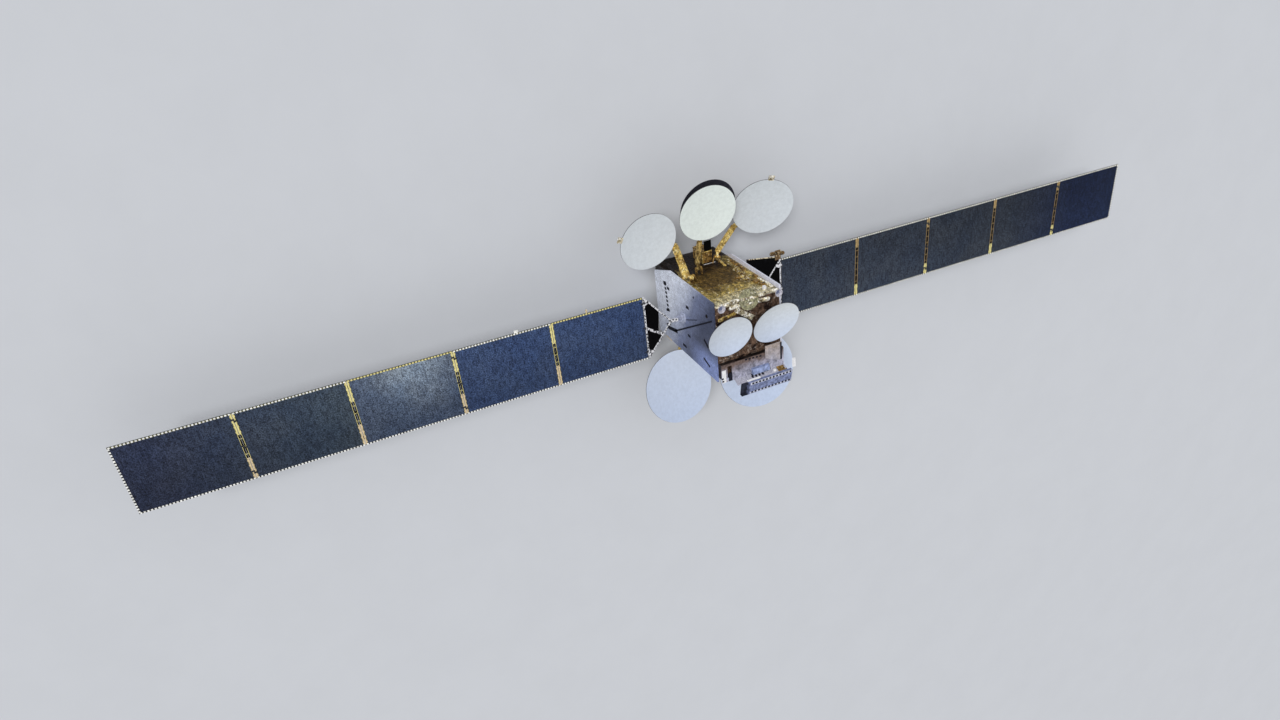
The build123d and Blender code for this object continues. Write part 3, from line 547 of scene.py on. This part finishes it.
def film_finish(name, light, dark, crease, depth, patch, pale=None, highlight_share=0.62, metallic=0.35):
    """Creased metallised film: broad patches between dark and light, fine flecks, and with pale, painted
    highlights: bright patches where a second noise is above the given share."""
    mat = Finish(name, light, 0.42, metallic, 0.12)
    mat.crease(crease, depth)
    colour = mat.ramp(mat.noise(patch, 4, 0.65), ((0.38, dark), (0.6, light)))
    if pale is not None:
        # Painted highlights: pale, bright patches of film.
        painted_highlight = mat.span(mat.noise(patch*1.7, 4, 0.7), highlight_share - 0.06, highlight_share + 0.06)
        colour = mat.mix(painted_highlight, colour, pale)
    return mat.done(mat.grain(colour, crease*1.3, 0.42, 1.6))


def foil_finish(name, c):
    """Film of a foil face: dark at the base, brown in the middle, gold along the two upright edges and
    pale towards the antenna deck, each boundary roughened by noise."""
    mat = Finish(name, c.foil, 0.42, 0.55, 0.1)
    mat.crease(11, 0.018)
    rough = mat.jitter(2.2, 4, 1.3)
    height = mat.span(mat.plus(mat.axes["Z"], rough), BASE_Z, DECK_Z)
    colour = mat.ramp(height, ((0.36, c.foil_shade), (0.5, c.foil), (0.7, c.foil), (0.84, c.foil_gold),
                               (0.95, c.foil_pale)))
    side = mat.plus(mat.math("ABSOLUTE", mat.axes["Y"]), mat.times(rough, 0.25))
    edge = mat.times(mat.span(side, 0.66, 0.86), mat.span(height, 0.22, 0.36))
    edge = mat.times(edge, mat.span(height, 0.88, 0.7))
    colour = mat.mix(edge, colour, c.foil_gold)
    lumps = mat.grey_ramp(mat.noise(5, 4, 0.7), ((0.34, 0.35), (0.52, 1), (0.68, 1.7)))
    colour = mat.tint(colour, lumps, 0.85)
    # Painted glints: bright specks on the folds along the upright edges and towards the deck.
    bright = mat.math("MAXIMUM", edge, mat.span(height, 0.62, 0.92))
    painted_glints = mat.times(mat.span(mat.noise(15, 2), 0.6, 0.67), bright)
    colour = mat.mix(painted_glints, colour, c.foil_painted_glint)
    return mat.done(mat.grain(mat.grain(colour, 9, 0.55, 1.5), 21, 0.35, 1.65))


def radiator_finish(name, c, tile):
    """Mirror tiles: the colour falls from white at the base to dark blue-grey along z + 0.79 x, a painted
    shade, and is bluer and lighter in the corner by the deck's east edge; square tiles with thin joints."""
    slant, reach = 0.79, 1.3
    mat = Finish(name, c.radiator, 0.45, 0, 0.25)
    # Painted shade: the tiles darken up and across the face.
    along = mat.plus(mat.axes["Z"], mat.times(mat.axes["X"], slant))
    along = mat.plus(along, mat.jitter(1.8, 3, 0.8))
    along = mat.span(along, WING_Z - reach, WING_Z + reach)
    colour = mat.ramp(along, ((0.05, c.radiator), (0.34, c.radiator_grey), (0.62, c.radiator_blue),
                              (0.95, c.radiator_dark)))
    high = mat.span(mat.axes["Z"], WING_Z + 0.2, WING_Z + 1.2)
    corner = mat.times(mat.span(mat.axes["X"], 0.35, 0.75), high)
    colour = mat.mix(corner, colour, c.radiator_corner)
    upright = mat.add("ShaderNodeMapping", {"Vector": mat.place, "Rotation": (np.pi/2, 0, 0)})
    tiles = mat.bricks(upright.outputs["Vector"], (0.95, 0.95, 0.95), (1.05, 1.05, 1.05),
                       (0.8, 0.8, 0.84), (tile, tile), 0.03, 0)
    colour = mat.grain(mat.tint(colour, tiles), 7, 0.86, 1.12)
    return mat.done(mat.grain(colour, 24, 0.76, 1.24))


def cell_finish(name, stops, west, east, cell, sheen=None):
    """Solar cells in strings along x: two shades cell by cell, thin joints, bright specks, the colour
    going through the stops with the distance out along the wing and scaled from west to east, painted
    light that makes one side brighter. A painted glint fades with the square of the distance over the third
    panel."""
    mat = Finish(name, stops[0][1], 0.5, 0, 0.12)
    out = mat.span(mat.math("ABSOLUTE", mat.axes["Y"]), PANEL_FIRST_Y, CAD_HIGH[1])
    # Painted light: the cells are scaled brighter on one side of the wing, from west to east.
    scaled = {0: mat.ramp(out, stops), "Scale": mat.span(mat.axes["X"], -0.6, 0.6, west, east)}
    colour = mat.add("ShaderNodeVectorMath", scaled, operation="SCALE").outputs["Vector"]
    # Painted glint: a sun glint on the third south panel, painted into the cells' colour.
    if sheen is not None:
        ends = {0: mat.place, 1: (*PAINTED_GLINT_AT, WING_Z)}
        away = mat.add("ShaderNodeVectorMath", ends, operation="DISTANCE").outputs["Value"]
        near = mat.math("POWER", mat.span(away, PAINTED_GLINT_REACH, 0), 2)
        here = mat.grey_ramp(out, zip(THIRD_PANEL, (0, 1, 1, 0)))
        colour = mat.mix(mat.times(near, here), colour, sheen)
    cells = mat.bricks(mat.place, (0.72, 0.72, 0.74), (1.22, 1.22, 1.2), (1.3, 1.32, 1.36), cell, 0.05, 0.5)
    blotch = mat.ramp(mat.noise(0.9, 3), ((0.35, (0.86, 0.9, 0.95)), (0.65, (1.14, 1.08, 1))))
    colour = mat.tint(mat.tint(colour, cells), blotch)
    return mat.done(mat.grain(colour, 32, 0.3, 1.95))


def dish_finish(name, west, east, low_x, high_x):
    """White satin dish skin whose white turns from west to east, with faint dents. Where the east colour
    is darker and bluer, the turn is painted shade.
    """
    mat = Finish(name, west, 0.6)
    # Painted shade: darker and bluer towards the east where the two colours differ.
    colour = mat.ramp(mat.span(mat.axes["X"], low_x, high_x), ((0, west), (1, east)))
    return mat.done(mat.grain(colour, 9, 0.955, 1.045))


def speckled_finish(name, light, dark, scale, share):
    """Rods wrapped in light film with dark gaps."""
    mat = Finish(name, light, 0.55)
    return mat.done(mat.beads(light, dark, scale, share))


def side_rod_finish(name, light, dark, plate):
    """The north side rod, beaded light and dark, and on its plate at the tip beam brown film with dark
    and light specks."""
    plate_y = (2.085, 2.095)
    mat = Finish(name, light, 0.55)
    specks = mat.ramp(mat.noise(19), ((0.42, dark), (0.49, plate), (0.6, plate), (0.66, light)))
    at_plate = mat.span(mat.axes["Y"], *plate_y)
    return mat.done(mat.mix(at_plate, mat.beads(light, dark, 17, 0.48), specks))


def zoned_finish(name, axis, low, high, first, second, grain, amount):
    """Satin skin that goes from the first colour to the second along one axis, with a coarse grain."""
    mat = Finish(name, first, 0.6)
    rough = mat.jitter(4, 3, (high - low)*1.2)
    share = mat.span(mat.plus(mat.axes[axis], rough), low, high)
    return mat.done(mat.grain(mat.mix(share, first, second), grain, 1 - amount, 1 + amount))


FINISHES = {}


def finish_named(name):
    if name not in FINISHES:
        raise KeyError(f"the finish {name} has not been made: run the finishes operator first")
    return FINISHES[name]


def dress_node(node, finish):
    """Gives a CAD node one finish."""
    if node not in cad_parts:
        raise KeyError(f"the packed part has no node {node}")
    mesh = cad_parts[node].data
    mesh.materials.clear()
    mesh.materials.append(finish_named(finish))


def shade(name, description, default):
    """A colour property."""
    return FloatVectorProperty(name=name, description=description, default=default, subtype="COLOR", size=3,
                               min=0, max=1)


def number(name, description, default, low, high, kind=FloatProperty, **unit):
    """A number's property between low and high."""
    return kind(name=name, description=description, default=default, min=low, max=high, **unit)


def metres(*values):
    """The same for a length."""
    return number(*values, unit="LENGTH")


class SatelliteColours(bpy.types.PropertyGroup):
    foil: shade("Foil", "Film in the middle of the foil faces", (0.135, 0.082, 0.022))
    foil_shade: shade("Foil shade", "Film near the base", (0.02, 0.012, 0.009))
    foil_gold: shade("Gold foil", "Film along the upright edges", (0.44, 0.32, 0.09))
    foil_pale: shade("Pale foil", "Film near the antenna deck", (0.52, 0.45, 0.28))
    # Painted glint on the film's folds.
    foil_painted_glint: shade("Foil painted glint", "Bright folds of the film", (0.95, 0.88, 0.68))
    radiator: shade("Radiator", "Tiles at the base", (0.72, 0.76, 0.86))
    # Painted shade: the radiator's grey, blue and dark tiles stand for shade on the mirror tiles.
    radiator_grey: shade("Radiator, grey", "Tiles a third of the way up", (0.5, 0.54, 0.66))
    radiator_blue: shade("Radiator, blue", "Tiles two thirds of the way up", (0.17, 0.2, 0.32))
    radiator_dark: shade("Radiator, dark", "Tiles by the antenna deck", (0.06, 0.072, 0.125))
    radiator_corner: shade("Radiator corner", "Tiles in the east corner", (0.22, 0.28, 0.54))
    # Painted light: the south and north cells are one cell colour lit and shaded, the north one darker.
    cells_south: shade("South cells", "The two inner panels of the south wing", (0.031, 0.051, 0.112))
    # The third south panel's lighter colour and the cell glint below are painted glint.
    cells_south_middle_glint: shade("South cells, middle", "Its third panel", (0.044, 0.062, 0.105))
    cells_south_outer: shade("South cells, outer", "Its fourth panel", (0.034, 0.049, 0.071))
    cells_south_tip: shade("South cells, tip", "Its fifth panel", (0.02, 0.026, 0.051))
    cells_painted_glint: shade("Cell painted glint", "Brightest part of the third panel", (0.23, 0.28, 0.34))
    cells_north: shade("North cells", "The inner panels of the north wing", (0.03, 0.039, 0.059))
    cells_north_outer: shade("North cells, outer", "Its fourth panel", (0.02, 0.026, 0.039))
    cells_north_tip: shade("North cells, tip", "Its fifth panel", (0.006, 0.012, 0.037))
    dish_white: shade("Dish", "West reflectors", (0.65, 0.695, 0.735))
    dish_green: shade("Dish, greenish", "Middle west reflector", (0.77, 0.84, 0.82))
    # Painted shade: the dishes' darker, bluer east side.
    dish_blue: shade("Dish, bluish", "East side of the dishes", (0.5, 0.58, 0.75))
    dark_shell: shade("Dark shell", "Bare rear shell", (0.026, 0.026, 0.036))
    floor: shade("Floor", "Studio floor", (0.6, 0.62, 0.66))


class SatelliteSizes(bpy.types.PropertyGroup):
    tile: metres("Radiator tile", "Edge of one radiator tile", 0.08, 0.02, 0.3)
    cell_long: metres("Cell length", "Solar cell along x", 0.16, 0.02, 0.4)
    cell_short: metres("Cell width", "Solar cell along the wing", 0.08, 0.02, 0.3)
    foil_lift: metres("Foil lift", "Height of the film's folds", 0.035, 0.001, 0.05)
    foil_pitch: metres("Foil mesh pitch", "Grid step of the film", 0.014, 0.01, 0.1)
    tape_width: metres("Hinge tape width", "Strip beside a panel joint", 0.036, 0.01, 0.1)
    edge_width: metres("Edge strip width", "Strip along a panel's long edge", 0.042, 0.01, 0.1)
    edge_pitch: metres("Edge strip pitch", "Step from one edge cover to the next", 0.082, 0.03, 0.3)
    dish_sides: number("Dish sides", "Steps round each dish", 128, 24, 256, IntProperty)


class StageSettings(bpy.types.PropertyGroup):
    sun: number("Key light", "Strength of the soft key light", 1.7, 0, 10)
    sky: number("Sky", "Strength of the even light", 0.55, 0, 5)
    lens: number("Lens", "Focal length for a 36 mm wide frame", 23.573, 5, 300, subtype="DISTANCE_CAMERA",
                 unit="CAMERA")


class SATELLITE_OT_finishes(bpy.types.Operator):
    """Makes the named finishes and gives every CAD node its own"""

    bl_idname = "satellite.finishes"
    bl_label = "Finishes"

    def execute(self, context):
        for make, table in ((film_finish, FILMS), (satin_finish, SATINS), (zoned_finish, ZONED)):
            FINISHES.update({key: make(key, *values) for key, values in table.items()})
        FINISHES.update(self.adjustable(context.scene.satellite_colours, context.scene.satellite_sizes))
        nodes = self.node_finishes()
        for node, finish in nodes.items():
            dress_node(node, finish)
        bare = sorted(set(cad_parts) - set(nodes))
        if bare:
            raise RuntimeError(f"these nodes have no finish: {bare}")
        return {"FINISHED"}

    def adjustable(self, c, s):
        """The finishes whose colours and sizes are properties, and the two rods'."""
        cell = (s.cell_long, s.cell_short)
        # The south third panel's stops carry part of the painted glint.
        south = (c.cells_south, c.cells_south_middle_glint, c.cells_south_middle_glint, c.cells_south_outer)
        south = ((0.0, c.cells_south), *zip(THIRD_PANEL, south), (0.95, c.cells_south_tip))
        north = ((0.0, c.cells_north), (0.65, c.cells_north_outer), (0.85, c.cells_north_tip))
        rows = {
            "foil": (foil_finish, c),
            # The two numbers after the stops scale the cells from west to east: painted light, one side
            # brighter.
            "south_cells": (cell_finish, south, 1.12, 0.84, cell, c.cells_painted_glint),
            "north_cells": (cell_finish, north, 0.87, 1.15, cell),
            "radiator": (radiator_finish, c, s.tile),
            "dish_grey": (dish_finish, c.dish_white, c.dish_white, -3.4, -1.6),
            "dish_green": (dish_finish, c.dish_green, c.dish_green, -3.8, -2.1),
            # These ramps from west to east are painted shade, darker and bluer to the east.
            "dish_blue": (dish_finish, (0.62, 0.69, 0.83), c.dish_blue, 1.5, 3.8),
            "dish_deck": (dish_finish, (0.72, 0.76, 0.79), c.dish_blue, -0.8, 0.6),
            "dish_deck_south": (dish_finish, (0.65, 0.69, 0.73), c.dish_blue, -0.8, 0.6),
            "dark_shell": (satin_finish, c.dark_shell, 0.7, 0.35, 24, 0.1),
            "rod": (speckled_finish, (0.72, 0.72, 0.75), (0.03, 0.03, 0.035), 18.0, 0.46),
            "warm_rod": (side_rod_finish, (0.8, 0.7, 0.48), (0.05, 0.03, 0.02), (0.17, 0.1, 0.04)),
        }
        return {key: make(key, *values) for key, (make, *values) in rows.items()}

    def node_finishes(self):
        nodes = dict(NODE_FINISHES)
        for side, _ in WINGS:
            nodes.update({f"{side}_{part}": finish for part, finish in SIDE_FINISHES.items()})
            nodes.update({f"{side}_panel_{k}": "panel_back" for k in PANELS})
        for name in REFLECTORS:
            nodes.update({f"{name}_{part}": finish for part, finish in REFLECTOR_FINISHES.items()})
        return nodes | OTHER_BOOM


class SATELLITE_OT_foil(bpy.types.Operator):
    """Crumpled film over the two foil faces and the antenna deck, and lumpy rolls of it by their edges"""

    bl_idname = "satellite.foil"
    bl_label = "Foil blankets"

    def execute(self, context):
        s = context.scene.satellite_sizes
        x, inset, deck_inset = FOIL_X, 0.004, 0.003
        half_y, low, high = CORE_Y - inset, BASE_Z + 0.005, DECK_Z - inset
        across, up = (0, 2*half_y, 0), (0, 0, high - low)
        sheets = (
            ("west_foil_sheet", (-x, half_y, low), (0, -2*half_y, 0), up, "foil", 1.0),
            ("east_foil_sheet", (x, -half_y, low), across, up, "foil", 1.0),
            ("deck_foil_sheet", (-x + deck_inset, -half_y, DECK_Z), (2*x - 2*deck_inset, 0, 0), across,
             "deck_film", 0.8),
        )
        for seed, (name, corner, edge_u, edge_v, finish, share) in enumerate(sheets, 1):
            sheet = crumpled_sheet(corner, edge_u, edge_v, s.foil_pitch, s.foil_lift*share, seed)
            mesh_piece(name, sheet, [finish])
        for seed, (name, (*ends, radius, finish)) in enumerate(ROLLS.items(), 11):
            start, end = ((-FOIL_X - out, y, z) for out, y, z in ends)
            roll = crumpled_roll(start, end, radius, s.foil_pitch, seed)
            mesh_piece(f"{name}_roll", roll, [finish])
        return {"FINISHED"}


class SATELLITE_OT_panels(bpy.types.Operator):
    """Cell sheets, joint strips, edge strips and small stubs on the solar panels"""

    bl_idname = "satellite.panels"
    bl_label = "Solar panels"

    def execute(self, context):
        s = context.scene.satellite_sizes
        for side, sign in WINGS:
            for k in PANELS:
                near = PANEL_FIRST_Y + (k - 1)*PANEL_PITCH
                far = near + PANEL_PITCH - PANEL_GAP
                body = f"{side}_panel_{k}"
                self.cells(body, side, sign, near, far, s.edge_width)
                self.joint(body, side, sign, near, far, k, s.tape_width)
                self.edges(body, sign, near, far, k, s)
        for body, finish, out, y, size in STUBS:
            stub = blocks((-PANEL_HALF_X - out, y, WING_Z), size)
            mesh_piece(f"{body}_stub", stub, [finish], body)
        return {"FINISHED"}

    def cells(self, body, side, sign, near, far, border):
        thick, end_gap = 0.0016, 0.02
        size = (2*PANEL_HALF_X - border, far - near - end_gap, thick)
        sheet = blocks((0, sign*(near + far)/2, PANEL_TOP + thick/2), size)
        mesh_piece(f"{body}_cells", sheet, [f"{side}_cells"], body)

    def joint(self, body, side, sign, near, far, k, width):
        """The strips on this panel's side of its joints."""
        ends = [(near, 1)] if k > PANELS[0] else []
        if k < PANELS[-1]:
            ends.append((far, -1))
        z = PANEL_TOP + 0.003
        strips = {}
        for end_y, inward in ends:
            for start, end, own, band in JOINT_BANDS[side]:
                for offset, strip, finish, thick, pitch, share in band:
                    y = sign*(end_y + inward*offset*width)
                    row = block_row((start, y, z), (end, y, z), strip*width, thick, UP, pitch, share)
                    strips.setdefault(finish or own, []).append(row)
        self.strips(f"{body}_joint_strips", strips.items(), body)

    def edges(self, body, sign, near, far, k, s):
        """Rows of small covers over a dark gap along the two long edges, and across the wing's tip."""
        z, width = PANEL_TOP + 0.002, s.edge_width
        x = PANEL_HALF_X - width/2
        lines = [((side_x, sign*near, z), (side_x, sign*far, z)) for side_x in (-x, x)]
        if k == PANELS[-1]:
            y = sign*(far - width/2)
            lines.append(((-x, y, z), (x, y, z)))
        gaps = [block_row(a, b, width, 0.003) for a, b in lines]
        covers = [block_row(a, b, width, 0.01, UP, s.edge_pitch) for a, b in lines]
        west = "tape_yellow" if sign < 0 and k in (1, 3) else "edge_cover"
        bands = (("olive", gaps[:1]), ("edge_shade", gaps[1:]), (west, covers[:1]),
                 ("edge_cover", covers[1:]))
        self.strips(f"{body}_edge_strips", bands, body)

    def strips(self, name, bands, body):
        """One piece of several finishes: bands are a finish and its rows of blocks."""
        finishes, parts = zip(*((finish, joined(rows)) for finish, rows in bands))
        index = np.repeat(np.arange(len(parts)), [len(faces) for _, faces in parts])
        mesh_piece(name, joined(parts), finishes, body, index)


class SATELLITE_OT_dishes(bpy.types.Operator):
    """Smooth skins for the five side reflectors, the rear shell and the deck dishes"""

    bl_idname = "satellite.dishes"
    bl_label = "Dishes"

    def execute(self, context):
        sides = context.scene.satellite_sizes.dish_sides
        for name, (centre, tilts, radius, hinge, finish) in REFLECTORS.items():
            axes = local_axes(tilted_normal(*tilts), np.subtract(hinge, centre))
            fitting = "pale_film" if name.startswith("west") else "white_part"
            extra = []
            if name in RIM_FITTINGS:
                extra.append(self.rim_fitting(centre, axes, radius, *RIM_FITTINGS[name]))
            self.skin(f"{name}_reflector", f"{name}_antenna", centre, axes, radius, REFLECTOR_FORM, sides,
                      (finish, "dish_back", fitting), extra=extra)
            if name == "west_middle":
                self.skin("west_middle_rear_reflector", "west_middle_antenna", centre + REAR_SHIFT @ axes,
                          axes, REAR_RADIUS, REFLECTOR_FORM, sides, ["dark_shell"]*2, "rear_dish")
        for name, (centre, tilt, radius, finish) in DECK_DISHES.items():
            axes = local_axes(tilted_normal(tilt, 0), np.array([1.0, 0, 0]))
            back = "bowl" if name == "west" else "dish_back"
            self.skin(f"{name}_deck_dish", "bus", centre, axes, radius, DECK_DISH_FORM, sides, (finish, back))
        return {"FINISHED"}

    def rim_fitting(self, centre, axes, radius, outward, along, thick, angle):
        """A small block, or a longer plate, outside the rim and just under the rim's plane."""
        turn = np.radians(angle)
        out = np.cos(turn)*axes[0] + np.sin(turn)*axes[1]
        middle = np.asarray(centre) + (radius + outward/2 - RIM_OVERLAP)*out - thick/2*axes[2]
        return blocks(middle, (outward, along, thick), [out, np.cross(axes[2], out), axes[2]])

    def skin(self, node, body, centre, axes, radius, form, sides, finishes, slot="dish_white", extra=()):
        """A dish's front and back, sharp at the two rims, its form a focal length and a wall, with the
        extra shapes in the third finish."""
        steps, (focal, wall) = SHELL_STEPS, form
        profile = shell_profile(radius, radius**2/(4*focal), wall, steps)
        points, faces = turned_profile(profile, sides, centre, axes)
        index = [1]*sides*steps + [0]*(len(faces) - sides*steps)
        if extra:
            points, faces = joined([(points, faces), *extra])
            index += [2]*(len(faces) - len(index))
        piece = mesh_piece(f"{node}_skin", (points, faces), finishes, body, index, smooth=True)
        ends = np.empty(2*len(piece.data.edges), np.int32)
        piece.data.edges.foreach_get("vertices", ends)
        ring = (ends.reshape(-1, 2) - 1)//sides
        at_rim = (ring[:, 0] == ring[:, 1]) & ((ring[:, 0] == steps - 2) | (ring[:, 0] == steps - 1))
        sharp = piece.data.attributes.new("sharp_edge", "BOOLEAN", "EDGE")
        sharp.data.foreach_set("value", at_rim | (ring.min(1) >= 2*steps - 2))
        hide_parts(node)


class SATELLITE_OT_fittings(bpy.types.Operator):
    """Dark strips and a port on the south radiator, the long slanted strips painted shadow, and small parts
    on the west face, horns, platform and trough
    """

    bl_idname = "satellite.fittings"
    bl_label = "Small fittings"

    def execute(self, context):
        for name, finish, slot, *boxes in BOXES:
            mesh_piece(name, blocks(*zip(*boxes)), [finish])
        self.radiator()
        self.west_face()
        self.horns()
        self.platform()
        self.trough()
        return {"FINISHED"}

    def radiator(self):
        """Dark strips, the long slanted ones painted shadow, and a port."""
        lift, thick, out = 0.004, 0.01, (0, -1, 0)
        y = -SIDE_Y - lift
        rows = [block_row((a[0], y, a[1]), (b[0], y, b[1]), width, thick, out, pitch)
                for a, b, width, pitch in RADIATOR_MARKS]
        mesh_piece("south_radiator_dark_strips", joined(rows), ["dark_part"])
        port = turned_profile(PORT_PROFILE, ROUND_SIDES, PORT_AT, [(1, 0, 0), UP, out])
        mesh_piece("south_radiator_port", port, ["dark_film"])

    def west_face(self):
        """A dark flap and a light frame on the face box, and a lump of film round the north side rod."""
        low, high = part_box("west_face_box")
        flap = blocks((low[0] - 0.155, 0.3, high[2] - 0.02), (0.32, 0.238, 0.012))
        mesh_piece("west_face_box_flap", flap, ["black_film"])
        bar_z, thick = high[2] + 0.008, 0.018
        centres = [(low[0] + 0.015, (low[1] + high[1])/2, bar_z), (low[0] + 0.19, low[1] + 0.018, bar_z)]
        bars = blocks(centres, [(0.035, high[1] - low[1], thick), (0.34, 0.036, thick)])
        mesh_piece("west_face_box_frame", bars, ["boom_film"])
        low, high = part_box("north_side_rod")
        middle = np.array([low[0] + 0.1, high[1] - 0.1, high[2] - 0.02])
        radius, pitch, seed = 0.08, 0.022, 41
        wrap = crumpled_roll(middle - [0.03, 0.27, 0.0], middle + [0.03, 0.25, 0.0], radius, pitch, seed)
        mesh_piece("north_side_rod_wrap", wrap, ["rod_film"], "north_yoke")

    def horns(self):
        """A dark throat plate in each corner horn."""
        for side, _ in WINGS:
            low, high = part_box(f"{side}_corner_horn")
            middle = ((low[0] + high[0])/2, (low[1] + high[1])/2, 0.0)
            lower, upper = (high[2] - depth for depth in THROAT_DEPTHS)
            plate = [(0, lower), (THROAT_RADIUS, lower), (THROAT_RADIUS, upper), (0, upper)]
            throat = turned_profile(plate, ROUND_SIDES, middle, np.eye(3))
            mesh_piece(f"{side}_corner_horn_throat", throat, ["throat"])

    def platform(self):
        """Dark gaps and dots on the feed platform."""
        rows = [block_row((*start, PLATFORM_Z + lift), (*end, PLATFORM_Z + lift), width, thick, UP, pitch)
                for start, end, lift, width, thick, pitch in PLATFORM_ROWS]
        mesh_piece("platform_dark_parts", joined(rows), ["dark_part"])

    def trough(self):
        """Dotted rims on the trough, and a knob, plates and dots on the sloped shelf beside it."""
        low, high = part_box("feed_trough")
        end_y = high[1] - 0.02
        edges = ((low[0] + 0.042, high[2] + 0.001), (high[0] - 0.062, high[2] - 0.078))
        light = [block_row((x, -0.26, z), (x, end_y, z), 0.078, 0.006) for x, z in edges]
        mesh_piece("trough_light_rims", joined(light), ["rim"])
        rims = [block_row((x, -0.24, z + 0.006), (x, end_y, z + 0.006), 0.05, 0.01, UP, 0.108, 0.5)
                for x, z in edges]
        _, shelf_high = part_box("feed_trough_arms")
        slope = SHELF_RISE/np.linalg.norm(SHELF_RISE)
        face = np.array([-slope[2], 0.0, slope[0]])

        def on_shelf(share, y, lift):
            return SHELF_FOOT + share*SHELF_RISE + np.array([0, y, 0]) + face*(SHELF_HALF_THICK + lift)

        def shelf_row(share, start, end, lift, width, thick, *pitch):
            ends = (on_shelf(share, y, lift) for y in (start, end))
            return block_row(*ends, width, thick, face, *pitch)

        dots = shelf_row(0.45, -0.14, 0.3, 0.006, 0.07, 0.012, 0.1, 0.5)
        mesh_piece("trough_dark_dots", joined([*rims, dots]), ["dark_part"])
        plate = shelf_row(0.84, -0.3, 0.12, 0.004, 0.06, 0.008)
        axes = local_axes(face, np.array([0, 1.0, 0]))
        knob = turned_profile(KNOB_PROFILE, KNOB_SIDES, on_shelf(0.55, 0.62, 0.0), axes)
        mesh_piece("shelf_white_parts", joined([plate, knob]), ["white_part"])
        strip = shelf_row(0.5, 0.72, shelf_high[1] - 0.01, 0.003, 0.17, 0.006)
        mesh_piece("shelf_brown_strip", strip, ["bracket_film"])


class SATELLITE_OT_stage(bpy.types.Operator):
    """Floor, lights, world and the photo's camera"""

    bl_idname = "satellite.stage"
    bl_label = "Stage"

    def execute(self, context):
        scene = context.scene
        settings, colours = scene.satellite_stage, scene.satellite_colours
        points, faces = blocks((0, 0, FLOOR_Z), FLOOR_SIZE)
        mesh = bpy.data.meshes.new("floor")
        mesh.from_pydata(points.tolist(), [], faces.tolist())
        mesh.materials.append(satin_finish("studio_floor", colours.floor, 0.7, 0.01, 0.4))
        floor = bpy.data.objects.new("floor", mesh)
        scene.collection.objects.link(floor)
        sun_data = bpy.data.lights.new("key", "SUN")
        sun_data.energy = settings.sun
        sun_data.angle = SUN_SPREAD
        sun = bpy.data.objects.new("key", sun_data)
        sun.rotation_mode = "QUATERNION"
        sun.rotation_quaternion = Vector(SUN_WAY).to_track_quat("Z", "Y")
        scene.collection.objects.link(sun)
        world = bpy.data.worlds.new("studio")
        world.use_nodes = True
        background = world.node_tree.nodes["Background"].inputs
        background["Color"].default_value = (1.0, 1.0, 1.0, 1)
        background["Strength"].default_value = settings.sky
        scene.world = world
        scene.view_settings.view_transform = "Standard"
        self.camera(scene, settings)
        return {"FINISHED"}

    def camera(self, scene, settings):
        """Stands where the photo was taken from: right, up and back are the frame's own axes."""
        back, up = Vector(CAMERA_BACK).normalized(), Vector(CAMERA_UP)
        right = up.cross(back).normalized()
        data = bpy.data.cameras.new("photo_view")
        data.lens = settings.lens
        data.sensor_width = 36.0
        data.clip_end = 500.0
        camera = bpy.data.objects.new("photo_view", data)
        place = Matrix((right, back.cross(right), back)).transposed().to_4x4()
        place.translation = CAMERA_AT
        camera.matrix_world = place
        scene.collection.objects.link(camera)
        scene.camera = camera


class SATELLITE_PT_panel(bpy.types.Panel):
    bl_idname = "SATELLITE_PT_panel"
    bl_label = "Satellite"
    bl_space_type = "VIEW_3D"
    bl_region_type = "UI"
    bl_category = "Satellite"

    def draw(self, context):
        for name in GROUPS:
            box, group = self.layout.box(), getattr(context.scene, name)
            for key in group.__annotations__:
                box.prop(group, key)
        for operator in OPERATORS:
            self.layout.operator(operator.bl_idname)


OPERATORS = (SATELLITE_OT_finishes, SATELLITE_OT_foil, SATELLITE_OT_panels, SATELLITE_OT_dishes,
             SATELLITE_OT_fittings, SATELLITE_OT_stage)
GROUPS = {"satellite_colours": SatelliteColours, "satellite_sizes": SatelliteSizes,
          "satellite_stage": StageSettings}
CLASSES = (*GROUPS.values(), *OPERATORS, SATELLITE_PT_panel)


def register():
    for cls in CLASSES:
        bpy.utils.register_class(cls)
    for name, group in GROUPS.items():
        setattr(bpy.types.Scene, name, PointerProperty(type=group))


def unregister():
    for name in GROUPS:
        delattr(bpy.types.Scene, name)
    for cls in reversed(CLASSES):
        bpy.utils.unregister_class(cls)


def main():
    register()
    for operator in OPERATORS:
        group, name = operator.bl_idname.split(".")
        getattr(getattr(bpy.ops, group), name)()


if __name__ == "__main__":
    main()
